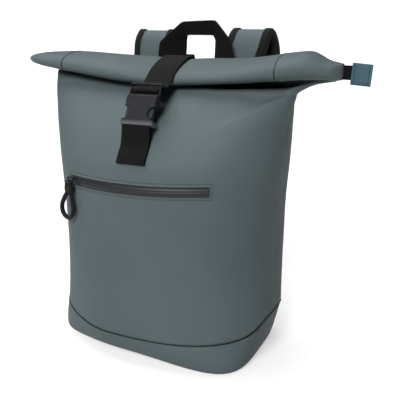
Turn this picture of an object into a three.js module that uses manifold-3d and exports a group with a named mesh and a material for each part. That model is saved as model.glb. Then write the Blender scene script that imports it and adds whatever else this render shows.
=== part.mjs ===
// Rolltop backpack, standing on its base.  Millimetres.  Front is -Y, right is +X, up is +Z.
// The origin is on the floor under the middle of the bag.
import * as THREE from 'three';
import Module from 'manifold-3d';

const wasm = await Module();
wasm.setup();

// Sizes
const bodyHeight = 358;      // floor to the neck at the two ends of the roll
const halfWidth = 150;       // half the width of the stuffed bag
const frontDepth = 121;      // from the middle plane to the front, at the fullest place
const backDepth = 79;        // from the middle plane to the back panel
const wall = 2;              // coated cloth
const baseHeight = 40;       // height of the seam round the base
const rollHalf = 220;        // half the length of the rolled top
const rollLong = 37;         // half the depth of the roll under the strap
const rollThick = 12;        // half the thickness of the roll under the strap
const rollHeight = 364;      // height of the middle of the roll under the strap
const rollShift = -3;        // the roll sits this far from the middle plane
const strapWidth = 38;       // webbing of closure, anchor and handle
const webThick = 1.5;        // one layer of webbing
const buckleWidth = 43;      // over the flared lip
const buckleLength = 55.5;   // lip to ladder bar
const buckleThick = 11;
const zipLength = 190;
const zipWidth = 12;
const padWidth = 55;         // shoulder strap
const padThick = 11;
const handleTop = 424;       // top edge of the carry handle
const padTop = 413;          // top of the shoulder straps' bend
const seat = 0.6;            // gap under a piece that lies on curved cloth
const gap = 0.35;            // gap between hard or flat pieces

// Looks
const cloth = new THREE.MeshStandardMaterial({ color: 0x5e6a6d, roughness: 0.62, metalness: 0 });
const webbing = new THREE.MeshStandardMaterial({ color: 0x1d1d1f, roughness: 0.85, metalness: 0 });
const moulded = new THREE.MeshStandardMaterial({ color: 0x343536, roughness: 0.42, metalness: 0 });
const zipTape = new THREE.MeshStandardMaterial({ color: 0x2b2e32, roughness: 0.5, metalness: 0 });
const slideMetal = new THREE.MeshStandardMaterial({ color: 0x3a3b3e, roughness: 0.35, metalness: 0.8 });
const tabCloth = new THREE.MeshStandardMaterial({ color: 0x4d6570, roughness: 0.8, metalness: 0 });

const group = new THREE.Group();
group.name = 'rolltop_backpack';

function addNode(name, geometry, material) {
  const mesh = new THREE.Mesh(geometry, material);
  mesh.name = name;
  group.add(mesh);
}

// Small tools
const V = (x, y, z) => new THREE.Vector3(x, y, z);
const mix = (p, q, f) => p + (q - p) * f;
const ease = (f) => {
  const k = Math.min(1, Math.max(0, f));
  return k * k * (3 - 2 * k);
};
const power = (value, exponent) => Math.sign(value) * Math.pow(Math.abs(value), exponent);

// Value of one column of a table at a place between its rows, along a smooth curve.
function column(rows, at, key, place) {
  let i = 0;
  while (i < rows.length - 2 && place > rows[i + 1][at]) i += 1;
  const p = rows[i];
  const q = rows[i + 1];
  const span = q[at] - p[at];
  const before = rows[Math.max(0, i - 1)];
  const after = rows[Math.min(rows.length - 1, i + 2)];
  const slope = (r, s) => (s[at] === r[at] ? 0 : (s[key] - r[key]) / (s[at] - r[at]));
  const chord = slope(p, q);
  const m0 = i === 0 ? chord : 0.5 * (slope(before, p) + chord);
  const m1 = i + 2 >= rows.length ? chord : 0.5 * (slope(q, after) + chord);
  const f = Math.min(1, Math.max(0, (place - p[at]) / span));
  const g = f * f * (3 - 2 * f);
  return mix(p[key], q[key], g) + f * (1 - f) * (1 - f) * span * m0 - f * f * (1 - f) * span * m1;
}

function meshOf(points, faces) {
  const geometry = new THREE.BufferGeometry();
  const flat = [];
  for (const p of points) flat.push(p.x, p.y, p.z);
  geometry.setAttribute('position', new THREE.Float32BufferAttribute(flat, 3));
  geometry.setIndex(faces.flat());
  geometry.computeVertexNormals();
  return geometry;
}

// Skin over rings of equally many points.  closed joins the last ring to the first, else both ends
// get a cap.  A ring runs counter-clockwise seen against the direction in which the rings follow.
function skin(rings, closed = false) {
  const n = rings[0].length;
  const points = rings.flat();
  const faces = [];
  const last = closed ? rings.length : rings.length - 1;
  for (let r = 0; r < last; r += 1) {
    const here = r * n;
    const next = ((r + 1) % rings.length) * n;
    for (let i = 0; i < n; i += 1) {
      const j = (i + 1) % n;
      faces.push([here + i, here + j, next + j], [here + i, next + j, next + i]);
    }
  }
  if (!closed) {
    faces.push(...cap(rings[0], 0, true));
    faces.push(...cap(rings[rings.length - 1], (rings.length - 1) * n, false));
  }
  return meshOf(points, faces);
}

// Flat lid on a ring, also where the ring isn't convex.
function cap(ring, offset, flip) {
  const normal = V(0, 0, 0);
  ring.forEach((p, i) => {
    const q = ring[(i + 1) % ring.length];
    normal.x += (p.y - q.y) * (p.z + q.z);
    normal.y += (p.z - q.z) * (p.x + q.x);
    normal.z += (p.x - q.x) * (p.y + q.y);
  });
  normal.normalize();
  const side = Math.abs(normal.z) < 0.9 ? V(0, 0, 1).cross(normal).normalize() : V(1, 0, 0);
  const up = normal.clone().cross(side).normalize();
  const across = up.clone().cross(normal);
  const flat = ring.map((p) => new THREE.Vector2(p.dot(across), p.dot(up)));
  return THREE.ShapeUtils.triangulateShape(flat, []).map(([a, b, c]) =>
    flip ? [offset + a, offset + c, offset + b] : [offset + a, offset + b, offset + c]);
}

// Flat band along stations {at, wide, out, half, thick}: wide is the direction over its width and
// out the direction of its face.  profile gives the section in shares of half and thick.
const flatBand = [[-1, -0.5], [1, -0.5], [1, 0.5], [-1, 0.5]];
function band(stations, profile = flatBand) {
  return skin(stations.map((s) => profile.map(([w, t]) =>
    s.at.clone().addScaledVector(s.wide, w * s.half).addScaledVector(s.out, t * s.thick))));
}

// Stations along a path in the plane X = x, its width along X.
function pathStations(path, x, width, thick) {
  return path.map((p, i) => {
    const from = path[Math.max(0, i - 1)];
    const to = path[Math.min(path.length - 1, i + 1)];
    const run = V(0, to[0] - from[0], to[1] - from[1]).normalize();
    return {
      at: V(x, p[0], p[1]), wide: V(1, 0, 0), out: run.clone().cross(V(1, 0, 0)).normalize(),
      half: width / 2, thick,
    };
  });
}

// Gives each station its facing, square to its width and to the way the band runs.
function faced(stations) {
  return stations.map((s, i) => {
    const next = stations[Math.min(stations.length - 1, i + 1)];
    const run = next.at.clone().sub(stations[Math.max(0, i - 1)].at);
    return { ...s, out: run.cross(s.wide).normalize() };
  });
}

// Joins and cuts, through the boolean library.
function solidOf(geometry) {
  const g = geometry.index ? geometry : geometry.clone();
  const pos = g.attributes.position;
  const seen = new Map();
  const vertProperties = [];
  const lookup = [];
  for (let i = 0; i < pos.count; i += 1) {
    const key = [pos.getX(i), pos.getY(i), pos.getZ(i)].map((v) => Math.round(v * 1e4)).join();
    if (!seen.has(key)) {
      seen.set(key, vertProperties.length / 3);
      vertProperties.push(pos.getX(i), pos.getY(i), pos.getZ(i));
    }
    lookup.push(seen.get(key));
  }
  const count = g.index ? g.index.count : pos.count;
  const triVerts = [];
  for (let i = 0; i < count; i += 3) {
    const [a, b, c] = [0, 1, 2].map((k) => lookup[g.index ? g.index.getX(i + k) : i + k]);
    if (a !== b && b !== c && c !== a) triVerts.push(a, b, c);
  }
  return new wasm.Manifold(new wasm.Mesh({
    numProp: 3,
    vertProperties: new Float32Array(vertProperties),
    triVerts: new Uint32Array(triVerts),
  }));
}

function geometryOf(solid) {
  const mesh = solid.getMesh();
  const geometry = new THREE.BufferGeometry();
  geometry.setAttribute('position', new THREE.Float32BufferAttribute(Array.from(mesh.vertProperties), 3));
  geometry.setIndex(Array.from(mesh.triVerts));
  geometry.computeVertexNormals();
  return geometry;
}

function box(x0, x1, y0, y1, z0, z1) {
  const b = new THREE.BoxGeometry(x1 - x0, y1 - y0, z1 - z0);
  b.translate((x0 + x1) / 2, (y0 + y1) / 2, (z0 + z1) / 2);
  return b;
}

function plate(outline, z0, z1, bevel = 0) {
  const shape = new THREE.Shape(outline.map(([x, y]) => new THREE.Vector2(x, y)));
  const b = new THREE.ExtrudeGeometry(shape, {
    depth: z1 - z0 - 2 * bevel, bevelEnabled: bevel > 0, bevelThickness: bevel, bevelSize: bevel,
    bevelOffset: -bevel, bevelSegments: 1, curveSegments: 6,
  });
  b.translate(0, 0, z0 + bevel);
  return b;
}

// The rolled top: a cloth band wound one and three quarter turns
// x is a share of rollHalf; y and z are shifts in mm; long and thick are shares; tilt in degrees, the
// front edge down.  The strap pulls the middle down, and the left end is folded to a tongue.
const rollRows = [
  { x: -1.00, y: 4, z: 10, long: 0.13, thick: 0.20, tilt: 2 },
  { x: -0.975, y: 4, z: 10.5, long: 0.30, thick: 0.42, tilt: 3 },
  { x: -0.91, y: 3, z: 11, long: 0.56, thick: 0.66, tilt: 5 },
  { x: -0.80, y: 2, z: 10.5, long: 0.78, thick: 0.86, tilt: 7 },
  { x: -0.62, y: 1, z: 8.5, long: 0.90, thick: 1.10, tilt: 9 },
  { x: -0.40, y: 0, z: 4.5, long: 0.95, thick: 1.16, tilt: 13 },
  { x: -0.16, y: 0, z: 0.8, long: 1.00, thick: 1.04, tilt: 18 },
  { x: 0.00, y: 2.5, z: -1.4, long: 0.91, thick: 0.88, tilt: 21 },
  { x: 0.20, y: 0, z: 1.0, long: 1.00, thick: 0.98, tilt: 17 },
  { x: 0.43, y: 0, z: 3.5, long: 0.98, thick: 1.02, tilt: 14 },
  { x: 0.60, y: 1, z: 7.5, long: 0.95, thick: 1.18, tilt: 12 },
  { x: 0.74, y: 2, z: 10.5, long: 0.92, thick: 1.26, tilt: 10 },
  { x: 0.83, y: 2, z: 11.0, long: 0.87, thick: 1.20, tilt: 8 },
  { x: 0.92, y: 3, z: 7.5, long: 0.76, thick: 0.92, tilt: 5 },
  { x: 1.00, y: 3, z: 5.5, long: 0.70, thick: 0.76, tilt: 3 },
];

function rollRow(x) {
  const share = Math.min(1, Math.max(-1, x / rollHalf));
  const get = (key) => column(rollRows, 'x', key, share);
  return {
    y: rollShift + get('y'), z: rollHeight + get('z'),
    long: rollLong * get('long'), thick: rollThick * get('thick'),
    tilt: THREE.MathUtils.degToRad(get('tilt')),
  };
}

const inSection = (x, s, u, v) => V(
  x, s.y + u * Math.cos(s.tilt) - v * Math.sin(s.tilt), s.z + u * Math.sin(s.tilt) + v * Math.cos(s.tilt));

// Point of the roll's section at x: turn 0 is the back edge, a quarter turn the top.
function rollPoint(x, turn, grow = 0) {
  const s = rollRow(x);
  const u = (s.long + grow) * power(Math.cos(turn), 0.9);
  const v = (s.thick + grow) * power(Math.sin(turn), 0.9);
  return inSection(x, s, u, v);
}

// Height of the roll's underside at x and y.
function rollUnder(x, y) {
  let best = rollPoint(x, -Math.PI / 2).z;
  let near = Infinity;
  for (let k = 1; k < 60; k += 1) {
    const p = rollPoint(x, -Math.PI * k / 60);
    if (Math.abs(p.y - y) < near) {
      near = Math.abs(p.y - y);
      best = p.z;
    }
  }
  return best;
}

const rollBand = 0.30;       // thickness of the wound layers, as a share of rollThick
const rollPitch = 0.35;      // step from one turn to the next, as a share of rollThick
const rollTurns = 1.75;
const rollSteps = 28;

// The wound band in the section at x: out along its outer face, back along its inner one.
function rollRing(x) {
  const s = rollRow(x);
  const ring = [];
  const spot = (step, depth) => {
    const f = step / rollSteps;
    const turn = Math.PI * (1.1 + 2 * rollTurns * f);
    const inset = s.thick * (rollPitch * rollTurns * f + depth);
    const u = (s.long - inset) * power(Math.cos(turn), 0.9);
    const v = (s.thick - inset) * power(Math.sin(turn), 0.9);
    return inSection(x, s, u, v);
  };
  for (let i = 0; i <= rollSteps; i += 1) ring.push(spot(i, 0));
  for (let i = rollSteps; i >= 0; i -= 1) ring.push(spot(i, rollBand));
  return ring;
}
addNode('rolled_top', skin(rollRows.map((row) => rollRing(row.x * rollHalf))), cloth);

// The body of the bag: one cloth tube, flattened to the neck under the roll
// All shares of the named sizes: z of the height, left and right of the half width, front and back of
// the depths; nf and nb say how square the front and back corners are.  The last rows flatten the
// tube to the neck under the roll; its left side is tucked in, its right side runs out to a wing.
const seamShare = baseHeight / bodyHeight;
const bodyRows = [
  { z: seamShare, left: 0.967, right: 0.967, front: 0.975, back: 0.962, nf: 2.55, nb: 3.6 },
  { z: 0.175, left: 0.955, right: 0.960, front: 0.992, back: 0.975, nf: 2.45, nb: 3.6 },
  { z: 0.27, left: 0.950, right: 0.958, front: 1.000, back: 0.99, nf: 2.35, nb: 3.6 },
  { z: 0.40, left: 0.952, right: 0.966, front: 1.006, back: 1.00, nf: 2.30, nb: 3.6 },
  { z: 0.53, left: 0.964, right: 0.987, front: 1.003, back: 1.00, nf: 2.30, nb: 3.5 },
  { z: 0.62, left: 0.982, right: 1.008, front: 0.993, back: 1.00, nf: 2.30, nb: 3.5 },
  { z: 0.69, left: 1.000, right: 1.022, front: 0.967, back: 0.995, nf: 2.32, nb: 3.4 },
  { z: 0.735, left: 1.016, right: 1.030, front: 0.928, back: 0.99, nf: 2.35, nb: 3.3 },
  { z: 0.785, left: 1.040, right: 1.040, front: 0.832, back: 0.98, nf: 2.42, nb: 3.1 },
  { z: 0.835, left: 1.070, right: 1.050, front: 0.708, back: 0.955, nf: 2.5, nb: 2.9 },
  { z: 0.885, left: 1.106, right: 1.060, front: 0.565, back: 0.88, nf: 2.5, nb: 2.6 },
  { z: 0.93, left: 1.140, right: 1.080, front: 0.420, back: 0.70, nf: 2.4, nb: 2.4 },
  { z: 0.96, left: 1.160, right: 1.135, front: 0.290, back: 0.46, nf: 2.2, nb: 2.3 },
  { z: 0.98, left: 1.170, right: 1.270, front: 0.178, back: 0.27, nf: 2.2, nb: 2.3 },
  { z: 0.993, left: 1.172, right: 1.410, front: 0.096, back: 0.145, nf: 2.4, nb: 2.5 },
  { z: 1.0, left: 1.172, right: 1.44, front: 0.064, back: 0.098, nf: 2.6, nb: 2.6 },
];

function bodyRow(share) {
  const get = (key) => column(bodyRows, 'z', key, share);
  return {
    left: halfWidth * get('left'), right: halfWidth * get('right'),
    front: frontDepth * get('front'), back: backDepth * get('back'),
    nf: get('nf'), nb: get('nb'),
  };
}

// How much further in the inner face lies where the wall leans, up to three walls.
function wallInset(share, key) {
  const step = 0.004;
  const low = Math.max(seamShare, share - step);
  const high = Math.min(1, share + step);
  const rise = (high - low) * bodyHeight;
  const lean = (bodyRow(high)[key] - bodyRow(low)[key]) / rise;
  return wall * Math.min(key === 'right' ? 3 : 2.1, Math.hypot(1, lean));
}

// Height of the rim of the neck, just under the roll.
const neckRim = (x) => Math.min(rollUnder(x, -7) - 0.7, bodyHeight + 2.5);

// How much higher the seam round the base runs at the sides than in the middle.
const seamRise = (x) => 0.16 * baseHeight * Math.pow(Math.abs(x) / halfWidth, 3);

// Folds and dents as soft ridges between two points of the cloth: x in shares of the half width, z of
// the height, wide and rise in mm.  The first runs from the wing down across the front.
const foldRows = [
  { x0: 0.90, z0: 0.87, x1: 0.58, z1: 0.80, wide: 12, rise: 3.0 },
  { x0: 0.98, z0: 0.83, x1: 0.84, z1: 0.74, wide: 20, rise: -3.2 },
  { x0: 0.93, z0: 0.42, x1: 0.90, z1: 0.22, wide: 26, rise: -2.6 },
  { x0: -1.14, z0: 0.94, x1: -0.93, z1: 0.80, wide: 17, rise: 1.6 },
];
function foldRise(x, z) {
  let rise = 0;
  for (const f of foldRows) {
    const [ax, az, bx, bz] = [f.x0 * halfWidth, f.z0 * bodyHeight, f.x1 * halfWidth, f.z1 * bodyHeight];
    const length = Math.hypot(bx - ax, bz - az);
    const t = ((x - ax) * (bx - ax) + (z - az) * (bz - az)) / (length * length);
    const near = Math.min(1, Math.max(0, t));
    const off = Math.hypot(x - mix(ax, bx, near), z - mix(az, bz, near));
    rise += f.rise * Math.exp(-Math.pow(off / f.wide, 2)) * (1 - 0.7 * near);
  }
  return rise;
}

function bodyPoint(share, turn, inside = false) {
  const s = bodyRow(share);
  const inset = (key) => (inside ? wallInset(share, key) : 0);
  const c = Math.cos(turn);
  const q = Math.sin(turn);
  const n = q < 0 ? s.nf : s.nb;
  const x = (c < 0 ? s.left - inset('left') : s.right - inset('right')) * power(c, 2 / n);
  const depth = q < 0 ? s.front - inset('front') : s.back - inset('back');
  const lift = (neckRim(x) - bodyHeight) * ease((share - 0.80) / 0.20);
  const sag = seamRise(x) * (1 - ease((share - seamShare) / 0.25));
  const fade = q < 0 ? ease((1 - share) / 0.05) * ease((share - seamShare) / 0.06) : 0;
  const fold = fade * foldRise(x, share * bodyHeight);
  return V(x + fold * c, depth * power(q, 2 / n) + fold * q, share * bodyHeight + lift + sag);
}

const aroundCount = 64;
const around = Array.from({ length: aroundCount }, (_, i) => 2 * Math.PI * (i + 0.5) / aroundCount);
const bodyRing = (share, inside) => around.map((turn) => bodyPoint(share, turn, inside));
const outerRings = bodyRows.map((row) => bodyRing(row.z, false));
const innerRows = bodyRows.filter((_, i) => i % 2 === 0 || i > 7);
const innerRings = innerRows.map((row) => bodyRing(row.z, true)).reverse();
addNode('bag_body', skin([...outerRings, ...innerRings], true), cloth);

// Where the cloth is: the front or back face at x and height z, below the shoulder of the bag.
function clothY(x, z, side) {
  const s = bodyRow(z / bodyHeight);
  const n = side < 0 ? s.nf : s.nb;
  const depth = side < 0 ? s.front : s.back;
  const half = x < 0 ? s.left : s.right;
  return side * depth * Math.pow(1 - Math.pow(Math.min(0.999, Math.abs(x) / half), n), 1 / n);
}

// Outward direction of the cloth there.
function clothOut(x, z, side) {
  const dx = (clothY(x + 1, z, side) - clothY(x - 1, z, side)) / 2;
  const dz = (clothY(x, z + 1, side) - clothY(x, z - 1, side)) / 2;
  return V(-dx, 1, -dz).multiplyScalar(side).normalize();
}

// The panel under the bag
// z is in shares of baseHeight, the sides in shares of the body's first row.  nl and nr say how square
// the front corners are; the front edge runs askew, so the panel sags most at the right.
const baseRows = [
  { z: 0.988, left: 1.0, right: 1.0, front: 1.0, back: 1.0, nl: 2.55, nr: 2.55, skew: 0 },
  { z: 0.55, left: 1.020, right: 0.992, front: 0.945, back: 0.985, nl: 3.1, nr: 2.8, skew: -0.05 },
  { z: 0.25, left: 1.035, right: 0.972, front: 0.865, back: 0.955, nl: 3.8, nr: 3.3, skew: -0.10 },
  { z: 0.09, left: 1.040, right: 0.950, front: 0.785, back: 0.915, nl: 4.4, nr: 3.9, skew: -0.13 },
  { z: 0.02, left: 1.020, right: 0.920, front: 0.745, back: 0.865, nl: 4.5, nr: 4.0, skew: -0.135 },
  { z: 0.0, left: 0.980, right: 0.880, front: 0.700, back: 0.815, nl: 4.5, nr: 4.0, skew: -0.135 },
];

function baseRing(row, inset, height) {
  const s = bodyRow(seamShare);
  return around.map((turn) => {
    const c = Math.cos(turn);
    const q = Math.sin(turn);
    const front = c < 0 ? row.nl : row.nr;
    const n = q < 0 ? front : s.nb;
    const depth = q < 0 ? s.front * row.front - inset : s.back * row.back - inset;
    const x = ((c < 0 ? s.left * row.left : s.right * row.right) - inset) * power(c, 2 / n);
    const askew = q < 0 ? row.skew * x * power(-q, 0.5) : 0;
    const rise = seamRise(x) * ease(height / baseHeight);
    return V(x, depth * power(q, 2 / n) + askew, height + rise);
  });
}

function basePanel() {
  const outside = baseRows.map((row) => baseRing(row, 0, row.z * baseHeight)).reverse();
  const inside = baseRows.slice(0, 5).map((row, i) =>
    baseRing(row, wall, Math.max(row.z * baseHeight + (i > 1 ? 0.6 * wall : 0), 1.1 * wall)));
  return skin([...outside, ...inside]);
}
addNode('base_panel', basePanel(), cloth);

// The buckle lies on a slope in front of the cloth
const lipHeight = 0.8545 * bodyHeight;
const lipAt = V(0, clothY(0, lipHeight, -1) - 15.5, lipHeight);
const buckleLean = THREE.MathUtils.degToRad(31);
const along = V(0, Math.sin(buckleLean), Math.cos(buckleLean));
const face = V(0, -Math.cos(buckleLean), Math.sin(buckleLean));
const buckleFrame = new THREE.Matrix4().makeBasis(V(1, 0, 0), along, face).setPosition(lipAt);
const inBuckle = (v, w) => V(0, v, w).applyMatrix4(buckleFrame);

const socketTop = 0.68 * buckleLength;   // top edge of the socket
const ladderBar = 0.82 * buckleLength;   // middle of the bar that the strap wraps
const socketHalf = 0.48 * buckleWidth;

function socketOutline(half, grow) {
  const right = [
    [buckleWidth / 2, 0], [buckleWidth / 2, 3.5], [half + 0.4, 8], [half - 0.6, 0.55 * socketTop],
    [half, 0.86 * socketTop], [half - 0.6, socketTop],
  ];
  const left = right.map(([x, y]) => [-x, y]).reverse();
  return [...right, ...left].map(([x, y]) => [x + Math.sign(x) * grow, y]);
}

function windowOutline(side) {
  const mid = 0.40 * socketTop;
  const reach = 0.23 * socketTop;
  const steps = [-90, -68, -46, -23, 0, 23, 46, 68, 90];
  const bow = steps.map((deg) => {
    const a = THREE.MathUtils.degToRad(deg);
    return [side * (socketHalf + 1 - (reach + 1) * Math.cos(a)), mid + reach * Math.sin(a)];
  });
  const open = [[side * (buckleWidth / 2 + 2), mid + reach], [side * (buckleWidth / 2 + 2), mid - reach]];
  const loop = [...bow, ...open];
  return side > 0 ? loop : loop.reverse();
}

const barHeight = 3.4;
let socket = solidOf(plate(socketOutline(socketHalf, 0), -buckleThick / 2, buckleThick / 2, 1.2));
const shell = 2;
const cut = (x, y0, y1, z0, z1) => {
  socket = socket.subtract(solidOf(box(-x, x, y0, y1, z0, z1)));
};
cut(socketHalf - shell, 9, socketTop + 1, -buckleThick / 2 + shell, buckleThick / 2 - shell);
socket = socket.subtract(solidOf(plate(windowOutline(1), -buckleThick, buckleThick)));
socket = socket.subtract(solidOf(plate(windowOutline(-1), -buckleThick, buckleThick)));
// the slot behind the bar at the lip, for the anchor webbing
const slotReach = strapWidth / 2 + 0.5;
cut(slotReach, barHeight, 7.2, -buckleThick, buckleThick / 2 - 2.2);
cut(slotReach, -1, barHeight + 0.1, buckleThick / 2 - 4.8, buckleThick / 2 - 2.2);
cut(slotReach, -1, barHeight + 0.1, -buckleThick, -buckleThick / 2 + 3.2);
addNode('buckle_socket', geometryOf(socket).applyMatrix4(buckleFrame), moulded);

const railHalf = socketHalf - 0.2;
let plug = solidOf(plate([
  [railHalf, socketTop + gap], [railHalf, buckleLength - 1], [railHalf - 1.5, buckleLength],
  [-railHalf + 1.5, buckleLength], [-railHalf, buckleLength - 1], [-railHalf, socketTop + gap],
], -1.6, 1.8, 0.5));
const slotHalf = railHalf - 1.3;
const slotLow = socketTop + gap + 2.4;
plug = plug.subtract(solidOf(box(-slotHalf, slotHalf, slotLow, ladderBar - 1.5, -5, 5)));
plug = plug.subtract(solidOf(box(-slotHalf, slotHalf, ladderBar + 1.5, buckleLength - 2.8, -5, 5)));
// guide and two prongs in the socket
plug = plug.add(solidOf(box(-3, 3, 12, socketTop + 1.2, -2.4, 2.4)));
for (const side of [-1, 1]) {
  const prong = [
    [6.5, socketTop + 1.2], [10, socketTop + 1.2], [socketHalf - 2.7, 0.62 * socketTop],
    [socketHalf - 2.7, 0.26 * socketTop], [socketHalf - 6, 0.25 * socketTop], [9, 0.5 * socketTop],
  ].map(([x, y]) => [side * x, y]);
  plug = plug.add(solidOf(plate(side > 0 ? prong : prong.reverse(), -2.6, 2.6)));
}
addNode('buckle_plug', geometryOf(plug).applyMatrix4(buckleFrame), moulded);

// The closure strap
// From the back panel over the roll, under the ladder's top bar, round its middle bar and back.
const wrap = 1.8 + gap + webThick / 2;
const wrapLong = 1.5 + gap + webThick / 2;
const backStart = 0.80 * bodyHeight;
const backRun = [0, 0.45, 1].map((f) => {
  const z = mix(backStart, 0.868 * bodyHeight, f);
  return [clothY(0, z, 1) + seat + webThick / 2, z];
});
const throughLadder = [
  [buckleLength + 5.5, -19.5], [buckleLength + 1.5, -11], [buckleLength - 3.4, -5.2],
  [ladderBar + wrapLong + 0.8, -2.4], [ladderBar + wrapLong, 0], [ladderBar + wrapLong - 0.4, 2.2],
  [ladderBar + 1.1, wrap + 0.1], [ladderBar - 1.1, wrap + 0.1],
  [ladderBar - wrapLong + 0.4, 2.2], [ladderBar - wrapLong, 0], [ladderBar - wrapLong + 0.2, -2.4],
  [ladderBar - 0.6, -5.4], [ladderBar + 3.4, -9.4], [buckleLength - 3, -14.0], [buckleLength + 1, -21.5],
].map(([v, w]) => {
  const p = inBuckle(v, w);
  return [p.y, p.z];
});

// The taut way over the roll: its corners are the roll's outline where that stands out furthest.
function tautOver(from, to) {
  const spots = [from];
  for (let deg = -10; deg <= 200; deg += 14) {
    const p = rollPoint(0, THREE.MathUtils.degToRad(deg), 1.4 + webThick / 2);
    spots.push([p.y, p.z]);
  }
  spots.push(to);
  const way = [];
  for (const p of spots) {
    while (way.length > 1) {
      const [a, b] = way.slice(-2);
      if ((b[0] - a[0]) * (p[1] - b[1]) - (b[1] - a[1]) * (p[0] - b[0]) > 0) break;
      way.pop();
    }
    way.push(p);
  }
  return way.slice(1, -1);
}
const overRoll = tautOver(backRun[2], throughLadder[0]);
const closurePath = [...backRun, ...overRoll, ...throughLadder];
addNode('closure_strap', band(pathStations(closurePath, 0, strapWidth - 0.4, webThick)), webbing);

// The webbing that holds the socket
const sewnLow = 0.737 * bodyHeight;
const sewnHigh = 0.797 * bodyHeight;
const layer = (z, depth) => [clothY(0, z, -1) - seat - depth, z];
const lowerLayer = webThick / 2;
const upperLayer = 1.5 * webThick + gap;
const socketBack = -buckleThick / 2 + 3.2;
const socketFront = buckleThick / 2 - 2.2;
const loop = [
  [-3, socketFront - 1.3], [1.2, socketFront - 1.3], [4.4, socketFront - 1.45], [5.7, 0.5],
  [4.4, socketBack - 1.15], [1.2, socketBack - 1.4], [-4, socketBack - 1.6],
].map(([v, w]) => {
  const p = inBuckle(v, w);
  return [p.y, p.z];
});
const sewnMiddle = mix(sewnLow, sewnHigh, 0.5);
const anchorPath = [
  layer(sewnLow, upperLayer), layer(sewnMiddle, upperLayer), layer(sewnHigh, upperLayer + 0.8),
  ...loop,
  layer(sewnHigh, lowerLayer), layer(sewnMiddle, lowerLayer), layer(sewnLow, lowerLayer),
];
addNode('anchor_webbing', band(pathStations(anchorPath, 0, strapWidth, webThick)), webbing);

// The pocket zipper
const zipHeight = 0.653 * bodyHeight;
const zipProfile = [
  [-1, -0.5], [1, -0.5], [1, 0.2], [0.42, 0.25], [0.3, 0.5], [-0.3, 0.5], [-0.42, 0.25], [-1, 0.2],
];
function zipStation(x, lift, half, thick) {
  const out = clothOut(x, zipHeight, -1);
  const wide = V(0, 0, 1).addScaledVector(out, -out.z).normalize();
  const at = V(x, clothY(x, zipHeight, -1), zipHeight).addScaledVector(out, lift);
  return { at, wide, out, half, thick };
}
const zipStations = [];
for (let i = 0; i <= 18; i += 1) {
  const x = mix(-zipLength / 2, zipLength / 2, i / 18);
  zipStations.push(zipStation(x, seat + 0.9, (zipWidth / 2) * (i === 18 ? 0.8 : 1), 1.8));
}
addNode('pocket_zipper', band(zipStations, zipProfile), zipTape);

const slideAt = zipStation(-zipLength / 2 + 6, seat + 2.2 + gap, 0, 0);
const slideAlong = slideAt.wide.clone().cross(slideAt.out).normalize();
const slideFrame = new THREE.Matrix4().makeBasis(slideAlong, slideAt.wide, slideAt.out);
slideFrame.setPosition(slideAt.at);
let slider = solidOf(plate([[-5, -3.2], [5, -4], [5, 4], [-5, 3.2]], 0, 2.2, 0.5));
slider = slider.add(solidOf(box(-1.1, 1.1, -3.9, -2.4, 1.8, 5.6)));
slider = slider.add(solidOf(box(-1.1, 1.1, 2.2, 3.6, 1.8, 5.6)));
slider = slider.add(solidOf(box(-1.1, 1.1, -3.9, 3.6, 5, 6.2)));
addNode('zip_slider', geometryOf(slider).applyMatrix4(slideFrame), slideMetal);

// Cord loop that hangs in the slider's eye; plane of the loop turned to the front.
const eye = V(0, 0, 3.6).applyMatrix4(slideFrame);
const pullSide = V(0.93, -0.36, 0).normalize();
const pullRows = [
  { side: -3.4, down: 0 },
  { side: 3.4, down: 0 },
  { side: 4.8, down: 5 },
  { side: 3.4, down: 13 },
  { side: 3.6, down: 32 },
  { side: 3.0, down: 45 },
  { side: -1.0, down: 52.5 },
  { side: -7.8, down: 55.5 },
  { side: -14.4, down: 52.5 },
  { side: -16.0, down: 45 },
  { side: -12.4, down: 31 },
  { side: -8.0, down: 13 },
  { side: -5.8, down: 5 },
];
function cordLoop(rows, half, thick) {
  const out = pullSide.clone().cross(V(0, 0, 1)).normalize();
  const spots = rows.map((r) => eye.clone().addScaledVector(pullSide, r.side).add(V(0, 0, -r.down)));
  const n = spots.length;
  const rings = spots.map((p, i) => {
    const run = spots[(i + 1) % n].clone().sub(spots[(i + n - 1) % n]).normalize();
    const wide = run.clone().cross(out).normalize();
    const k = rows[i].down < 3 ? 0.3 : rows[i].down < 6 ? 0.6 : 1;
    const o = (w, t) => p.clone().addScaledVector(wide, w * half * k).addScaledVector(out, t * thick * k);
    return [o(-1, 0.5), o(1, 0.5), o(1, -0.5), o(-1, -0.5)];
  });
  return skin(rings, true);
}
addNode('zip_pull', cordLoop(pullRows, 2, 3.4), webbing);

// The carry handle
// Both legs are sewn to the back panel; the middle is folded to half its width.  x is in shares of the
// webbing's width and back in shares of a pad's thickness.  z is a share of the shoulder line's height,
// and above 1 it goes on from there: 2 is the top.  turn swings the width about the upright, fall tips
// it from level (0) to upright (90).
const handleRows = [
  { x: 1.026, back: 0.000, z: 0.879, turn: 0, fall: 0, half: 1, thick: 1 },
  { x: 1.026, back: 0.000, z: 0.974, turn: 0, fall: 0, half: 1, thick: 1 },
  { x: 1.039, back: 0.455, z: 1.238, turn: 20, fall: 0, half: 1, thick: 1 },
  { x: 1.039, back: 0.818, z: 1.595, turn: 26, fall: 4, half: 1, thick: 1.1 },
  { x: 0.960, back: 1.045, z: 1.786, turn: 26, fall: 24, half: 0.86, thick: 1.5 },
  { x: 0.776, back: 1.227, z: 1.929, turn: 24, fall: 56, half: 0.66, thick: 2.1 },
  { x: 0.500, back: 1.364, z: 1.988, turn: 15, fall: 84, half: 0.50, thick: 2.4 },
  { x: 0.000, back: 1.409, z: 2.000, turn: 0, fall: 90, half: 0.47, thick: 2.4 },
];
const shoulder = 0.95 * bodyHeight;
const standing = (share, top) => (share < 1 ? share * shoulder : mix(shoulder, top, share - 1));
const handleSpread = handleRows[0].x * strapWidth;
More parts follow.
